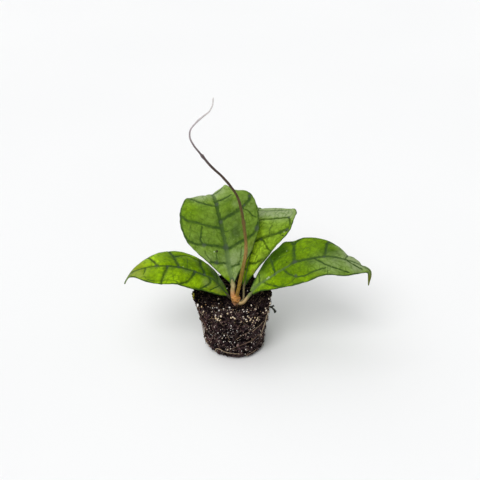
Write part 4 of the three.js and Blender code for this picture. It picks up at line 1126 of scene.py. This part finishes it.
def make_soil():
    """The plug's surface: clods, crumbs and pores on the solid's outline."""
    rows, columns = 215, 420
    radius, height = Route(PLUG_PROFILE, steps=3000).at(np.linspace(0, 1, rows)).T
    turn = np.arange(columns) * 2 * math.pi / columns
    height, around = np.meshgrid(np.clip(height, 0, None), turn, indexing="ij")
    radius = np.repeat(radius[:, None], columns, 1)
    places = plug_place(around, radius + plug_swell(around, height) * np.minimum(1, radius / 20), height)
    normal = normalised(np.cross(np.gradient(places, axis=1), np.gradient(places, axis=0)))
    bumps = np.array([clods(Vector(place)) for place in places.reshape(-1, 3)]).reshape(rows, columns)

    level, wide, deep = CLEFT
    degrees = (np.degrees(around) + 180) % 360 - 180
    wavy = level + 0.3 * np.sin(degrees * 0.35) + 0.2 * np.sin(degrees * 0.9)
    cleft = hump(height, wavy, wide) * smooth_step(degrees, -4, 3) * smooth_step(degrees, 33, 27)
    bumps += deep * cleft * (radius > 15)
    smooth_side = hump(degrees, SMOOTH_SIDE, SMOOTH_REACH) * smooth_step(height, 6, 12)
    bumps = bumps * (1 - 0.7 * smooth_side) - SOIL_SINK
    to_crown = np.hypot(places[..., 0] - STEM_AXIS[0] - 1, places[..., 1] - STEM_AXIS[1] + 2.5)
    on_top = height > 30
    bumps -= 1.2 * hump(to_crown, 0, 3.2) * on_top
    bumps *= smooth_step(height, 0, 1.6)
    rim = 1 + 0.5 * hump(radius, 24, 3) * smooth_step(height, 33, 37)
    moved = places + normal * (bumps * rim)[..., None]
    moved[..., 2] = np.maximum(moved[..., 2], np.where(height <= 0, 0, 0.02))

    warm = hump(degrees, -66, 26) * smooth_step(height, 4, 12) * smooth_step(height, 36, 30)
    warm += hump(degrees, 66, 14) * smooth_step(height, 20, 27) * smooth_step(height, 36, 33)
    # Painted shadow: the soil's top behind the stem, under the leaves, is darkened.
    behind = 0.9 * smooth_step(moved[..., 1], -20, -12)
    painted_leaf_shadow = behind * smooth_step(height, 33.5, 35) * smooth_step(radius, 25.5, 23)
    painted_leaf_shadow = np.where(radius < 20, np.maximum(painted_leaf_shadow, behind), painted_leaf_shadow) * on_top
    values = {"dip": bumps.ravel(), "warm": (0.6 * warm).ravel(), "painted_leaf_shadow": painted_leaf_shadow.ravel()}
    faces = capped_faces(rows, columns)
    make_piece("soil", moved.reshape(-1, 3), faces, [SOIL], values, ["soil_plug"])


def make_perlite(fine, coarse, rng):
    perlite = Heap()
    for degrees, height, size, shade in SIDE_SPECKS:
        if height < FINE_BELOW:
            size, shade = size * 0.72, shade * 0.85
        shape = grain(rng, fine, SPECK_SCALE * size, 0.7, 0.55)
        perlite.add(shape, shade, side_place(degrees, height, 0.15))
    for degrees, distance, size, shade in TOP_SPECKS:
        shape = grain(rng, fine, SPECK_SCALE * size, 0.7, 0.55)
        perlite.add(shape, shade, top_place(degrees, distance, 0.3))
    for k in range(PERLITE_GRAINS):
        size = rng.uniform(0.1, 0.25) if rng.random() < 0.96 else rng.uniform(0.25, 0.45)
        shape, faces = grain(rng, fine if size > 0.3 else coarse, size, 0.7)
        if k % 3 == 0:
            where = top_place(rng.uniform(0, 360), 24.5 * math.sqrt(rng.uniform(0.12, 1)), 0.15)
            shade = rng.uniform(0.05, 0.8)
            # Painted shadow: grains on the top under the leaves are darker, and smaller too.
            if where[1] > -14:
                shape, shade = shape * 0.7, shade * 0.3
        else:
            height = rng.uniform(2, 37)
            where = side_place(rng.uniform(0, 360), height)
            shade = rng.uniform(0.1, 0.75) if height > 27 else rng.uniform(0.4, 0.95)
        perlite.add((shape, faces), shade, where)
    perlite.piece("perlite", "perlite", PERLITE)


def make_crumbs(coarse, rng):
    crumbs = Heap()
    for k in range(CRUMBS_IN_ALL):
        size = rng.uniform(0.25, 0.8) if rng.random() < 0.88 else rng.uniform(0.8, 1.35)
        shape = grain(rng, coarse, size, rng.uniform(0.4, 0.9))
        if k % 5 < 2:
            where = top_place(rng.uniform(0, 360), 25 * math.sqrt(rng.uniform(0.08, 1)), 0.2)
            # Painted shadow: crumbs on the top under the leaves are darker.
            shade = rng.random() * (0.35 if where[1] > -15 else 1)
        else:
            degrees = rng.uniform(0, 360)
            sunk = 0.1 + 0.6 * size * hump(degrees, SMOOTH_SIDE, SMOOTH_REACH)
            where = side_place(degrees, 37.5 * rng.random() ** 0.85 + 0.8, -sunk)
            shade = rng.random()
        where[2] = max(where[2], size + 0.1)
        crumbs.add(shape, shade, where)
    crumbs.piece("crumbs", "soil", CRUMBS)


def make_grains():
    """Perlite, bark crumbs and grit, half sunk in the plug."""
    rng = random.Random(11)
    fine, coarse = ball(2), ball(1)
    make_perlite(fine, coarse, rng)
    make_crumbs(coarse, rng)


def make_roots():
    """Roots and fine fibres that run over the plug's side and top."""
    rng = random.Random(5)
    heap = Heap()

    def add_fibre(points, rings, palest):
        thick = rng.uniform(0.07, 0.15)
        shape = tube(Route(points, steps=200), tapered(thick, thick * 0.5), rings, 6)
        heap.add(shape, rng.uniform(0, palest))

    for k, (thick, shade, points) in enumerate(ROOTS):
        route = Route([side_place(degrees, height, 0.3) for degrees, height in points])
        knobbly = lambda a, t: 1 + 0.2 * np.sin(a * 31 + k) * np.sin(a * 17 + t)
        heap.add(tube(route, tapered(thick, thick * 0.6), 70, 10, knobbly), shade)
    for _ in range(SIDE_FIBRES):
        degrees, height = rng.uniform(0, 360), rng.uniform(2.5, 35)
        lean, rise = rng.uniform(-1, 1), rng.uniform(-1, 1)
        points = []
        for _ in range(5):
            out = 0.3 + 0.35 * rng.random()
            points.append(side_place(degrees, min(max(height, 1.5), 37), out))
            lean, rise = lean + rng.uniform(-0.7, 0.7), rise + rng.uniform(-0.7, 0.7)
            degrees, height = degrees + 4.5 * lean, height + 1.7 * rise
        add_fibre(points, 26, 0.55)
    for _ in range(TOP_FIBRES):
        degrees, radius = rng.uniform(0, 360), 23 * math.sqrt(rng.uniform(0.1, 1))
        points = []
        for _ in range(4):
            points.append(top_place(degrees, min(max(radius, 2), 24.5), 0.35 + 0.4 * rng.random()))
            degrees, radius = degrees + rng.uniform(-9, 9), radius + rng.uniform(-2, 2)
        add_fibre(points, 20, 0.5)
    heap.piece("roots", "root", ROOT)


def make_sprig():
    """A dry dark sprig that sticks out on the right, with a thick end, a fork and three short twigs."""
    heap = Heap()
    stem, fork = Route(SPRIG), Route(SPRIG_FORK)
    thick = lambda a: 0.55 + 0.3 * smooth_step(a, 0.7, 0.92)
    heap.add(tube(stem, thick, 44, 10, lambda a, t: 1 + 0.22 * np.sin(a * 25 + t)), 0.2)
    thick = lambda a: 0.45 + 0.2 * smooth_step(a, 0.5, 0.9)
    heap.add(tube(fork, thick, 26, 10, lambda a, t: 1 + 0.2 * np.sin(a * 19 + t)), 0.3)
    for at, way, length in SPRIG_TWIGS:
        start = stem.at(at)
        end = start + normalised(np.array(way)) * length
        heap.add(tube(Route([start, (start + end) / 2 + (0.1, 0, 0.1), end]), tapered(0.24, 0.1), 14, 8), 0.4)
    heap.piece("sprig", "root", SPRIG_LOOK)


def make_moss():
    """A small tuft of yellow-green moss on the rim, to the left."""
    rng = random.Random(3)
    heap = Heap()
    for _ in range(MOSS_LEAVES):
        degrees, height = rng.gauss(-86, 4), 37.2 + rng.gauss(0, 0.6)
        foot = side_place(degrees, min(height, 37.9), -0.2)
        way = np.array([foot[0] * 0.6 + rng.gauss(0, 9), foot[1] * 0.6 + rng.gauss(0, 9), rng.uniform(4, 26)])
        tip = foot + normalised(way) * rng.uniform(0.5, 1.1)
        bend = (foot + tip) / 2 + (0, 0, 0.12)
        heap.add(tube(Route([foot, bend, tip], steps=60), pointed(0.18), 8, 6), rng.random())
    heap.piece("moss", "moss", MOSS)


LEAF_TOP, LEAF_UNDER = leaf_top(), leaf_under()
PETIOLE, CROWN, RUNNER, SOIL = petiole_bark(), crown_bark(), runner_bark(), soil_look()
BUDS = shaded_look("bud scale", 0.6, 0.5, 0.1, (0, (0.05, 0.03, 0.02)), (1, (0.25, 0.16, 0.1)))
PERLITE = shaded_look(
    "perlite", 0.85, 0.5, 0.12,
    (0, (0.3, 0.13, 0.06)), (0.25, (0.55, 0.37, 0.18)), (0.5, (0.78, 0.63, 0.44)), (0.8, (0.86, 0.81, 0.76)),
)
CRUMBS = shaded_look(
    "bark crumbs", 0.9, 0.7, 0.2,
    (0, (0.003, 0.002, 0.003)), (0.5, (0.032, 0.02, 0.021)), (0.8, (0.1, 0.06, 0.055)),
    (1, (0.24, 0.16, 0.145)), specular=0.03,
)
ROOT = shaded_look(
    "root skin", 0.75, 0.8, 0.08,
    (0, (0.06, 0.035, 0.025)), (0.4, (0.17, 0.11, 0.07)), (0.7, (0.36, 0.26, 0.17)), (1, (0.5, 0.4, 0.28)),
)
SPRIG_LOOK = shaded_look("dry sprig", 0.7, 0.6, 0.1, (0, (0.01, 0.014, 0.008)), (1, (0.05, 0.06, 0.03)))
MOSS = shaded_look(
    "moss green", 0.7, 0.6, 0.05, (0, (0.25, 0.24, 0.01)), (0.6, (0.7, 0.6, 0.04)), (1, (0.9, 0.75, 0.14)),
)

for number, name in enumerate(LEAVES, start=1):
    blade = make_leaf(name, number)
    make_petiole(name, blade, number)
make_crown()
make_runner()
make_soil()
make_grains()
make_roots()
make_sprig()
make_moss()


def make_floor():
    """A plain pale floor."""
    ticks = np.linspace(-FLOOR_SIZE, FLOOR_SIZE, FLOOR_STEPS)
    places = [(x, y, 0.0) for y in ticks for x in ticks]
    mesh = bpy.data.meshes.new("floor")
    mesh.from_pydata(places, [], grid_faces(FLOOR_STEPS, FLOOR_STEPS).tolist())
    look = Look("pale paper", roughness=0.9, specular=0.1)
    look.ramp(look.noise(look.place(), 240, 1), (0.3, (0.868, 0.868, 0.868)), (0.7, (0.882, 0.882, 0.882)))
    mesh.materials.append(look.finish())
    floor = bpy.data.objects.new("floor", mesh)
    bpy.context.scene.collection.objects.link(floor)


def soft_light(name, around, height, spread, strength):
    """A wide light from far off: around is where it comes from, in degrees from the front to the right."""
    light = bpy.data.lights.new(name, "SUN")
    light.angle = math.radians(spread)
    light.energy = strength
    lamp = bpy.data.objects.new(name, light)
    turn, rise = math.radians(around), math.radians(height)
    source = Vector((math.sin(turn) * math.cos(rise), -math.cos(turn) * math.cos(rise), math.sin(rise)))
    lamp.rotation_euler = source.to_track_quat("Z", "Y").to_euler()
    bpy.context.scene.collection.objects.link(lamp)


def make_studio():
    make_floor()
    for light in LIGHTS:
        soft_light(*light)
    world = bpy.data.worlds.new("studio")
    world.use_nodes = True
    sky = world.node_tree.nodes["Background"]
    sky.inputs["Color"].default_value = (0.965, 0.985, 1, 1)
    sky.inputs["Strength"].default_value = 0.29
    bpy.context.scene.world = world
    bpy.context.scene.view_settings.view_transform = "Standard"


def make_camera():
    data = bpy.data.cameras.new("camera")
    data.lens = 85
    data.sensor_width = 36
    data.clip_start = 0.05
    data.clip_end = 30
    camera = bpy.data.objects.new("camera", data)
    camera.location = (0.0026, -0.6006, 0.4311)
    camera.rotation_euler = (math.radians(59.5), 0, 0)
    bpy.context.scene.collection.objects.link(camera)
    bpy.context.scene.camera = camera


make_studio()
make_camera()
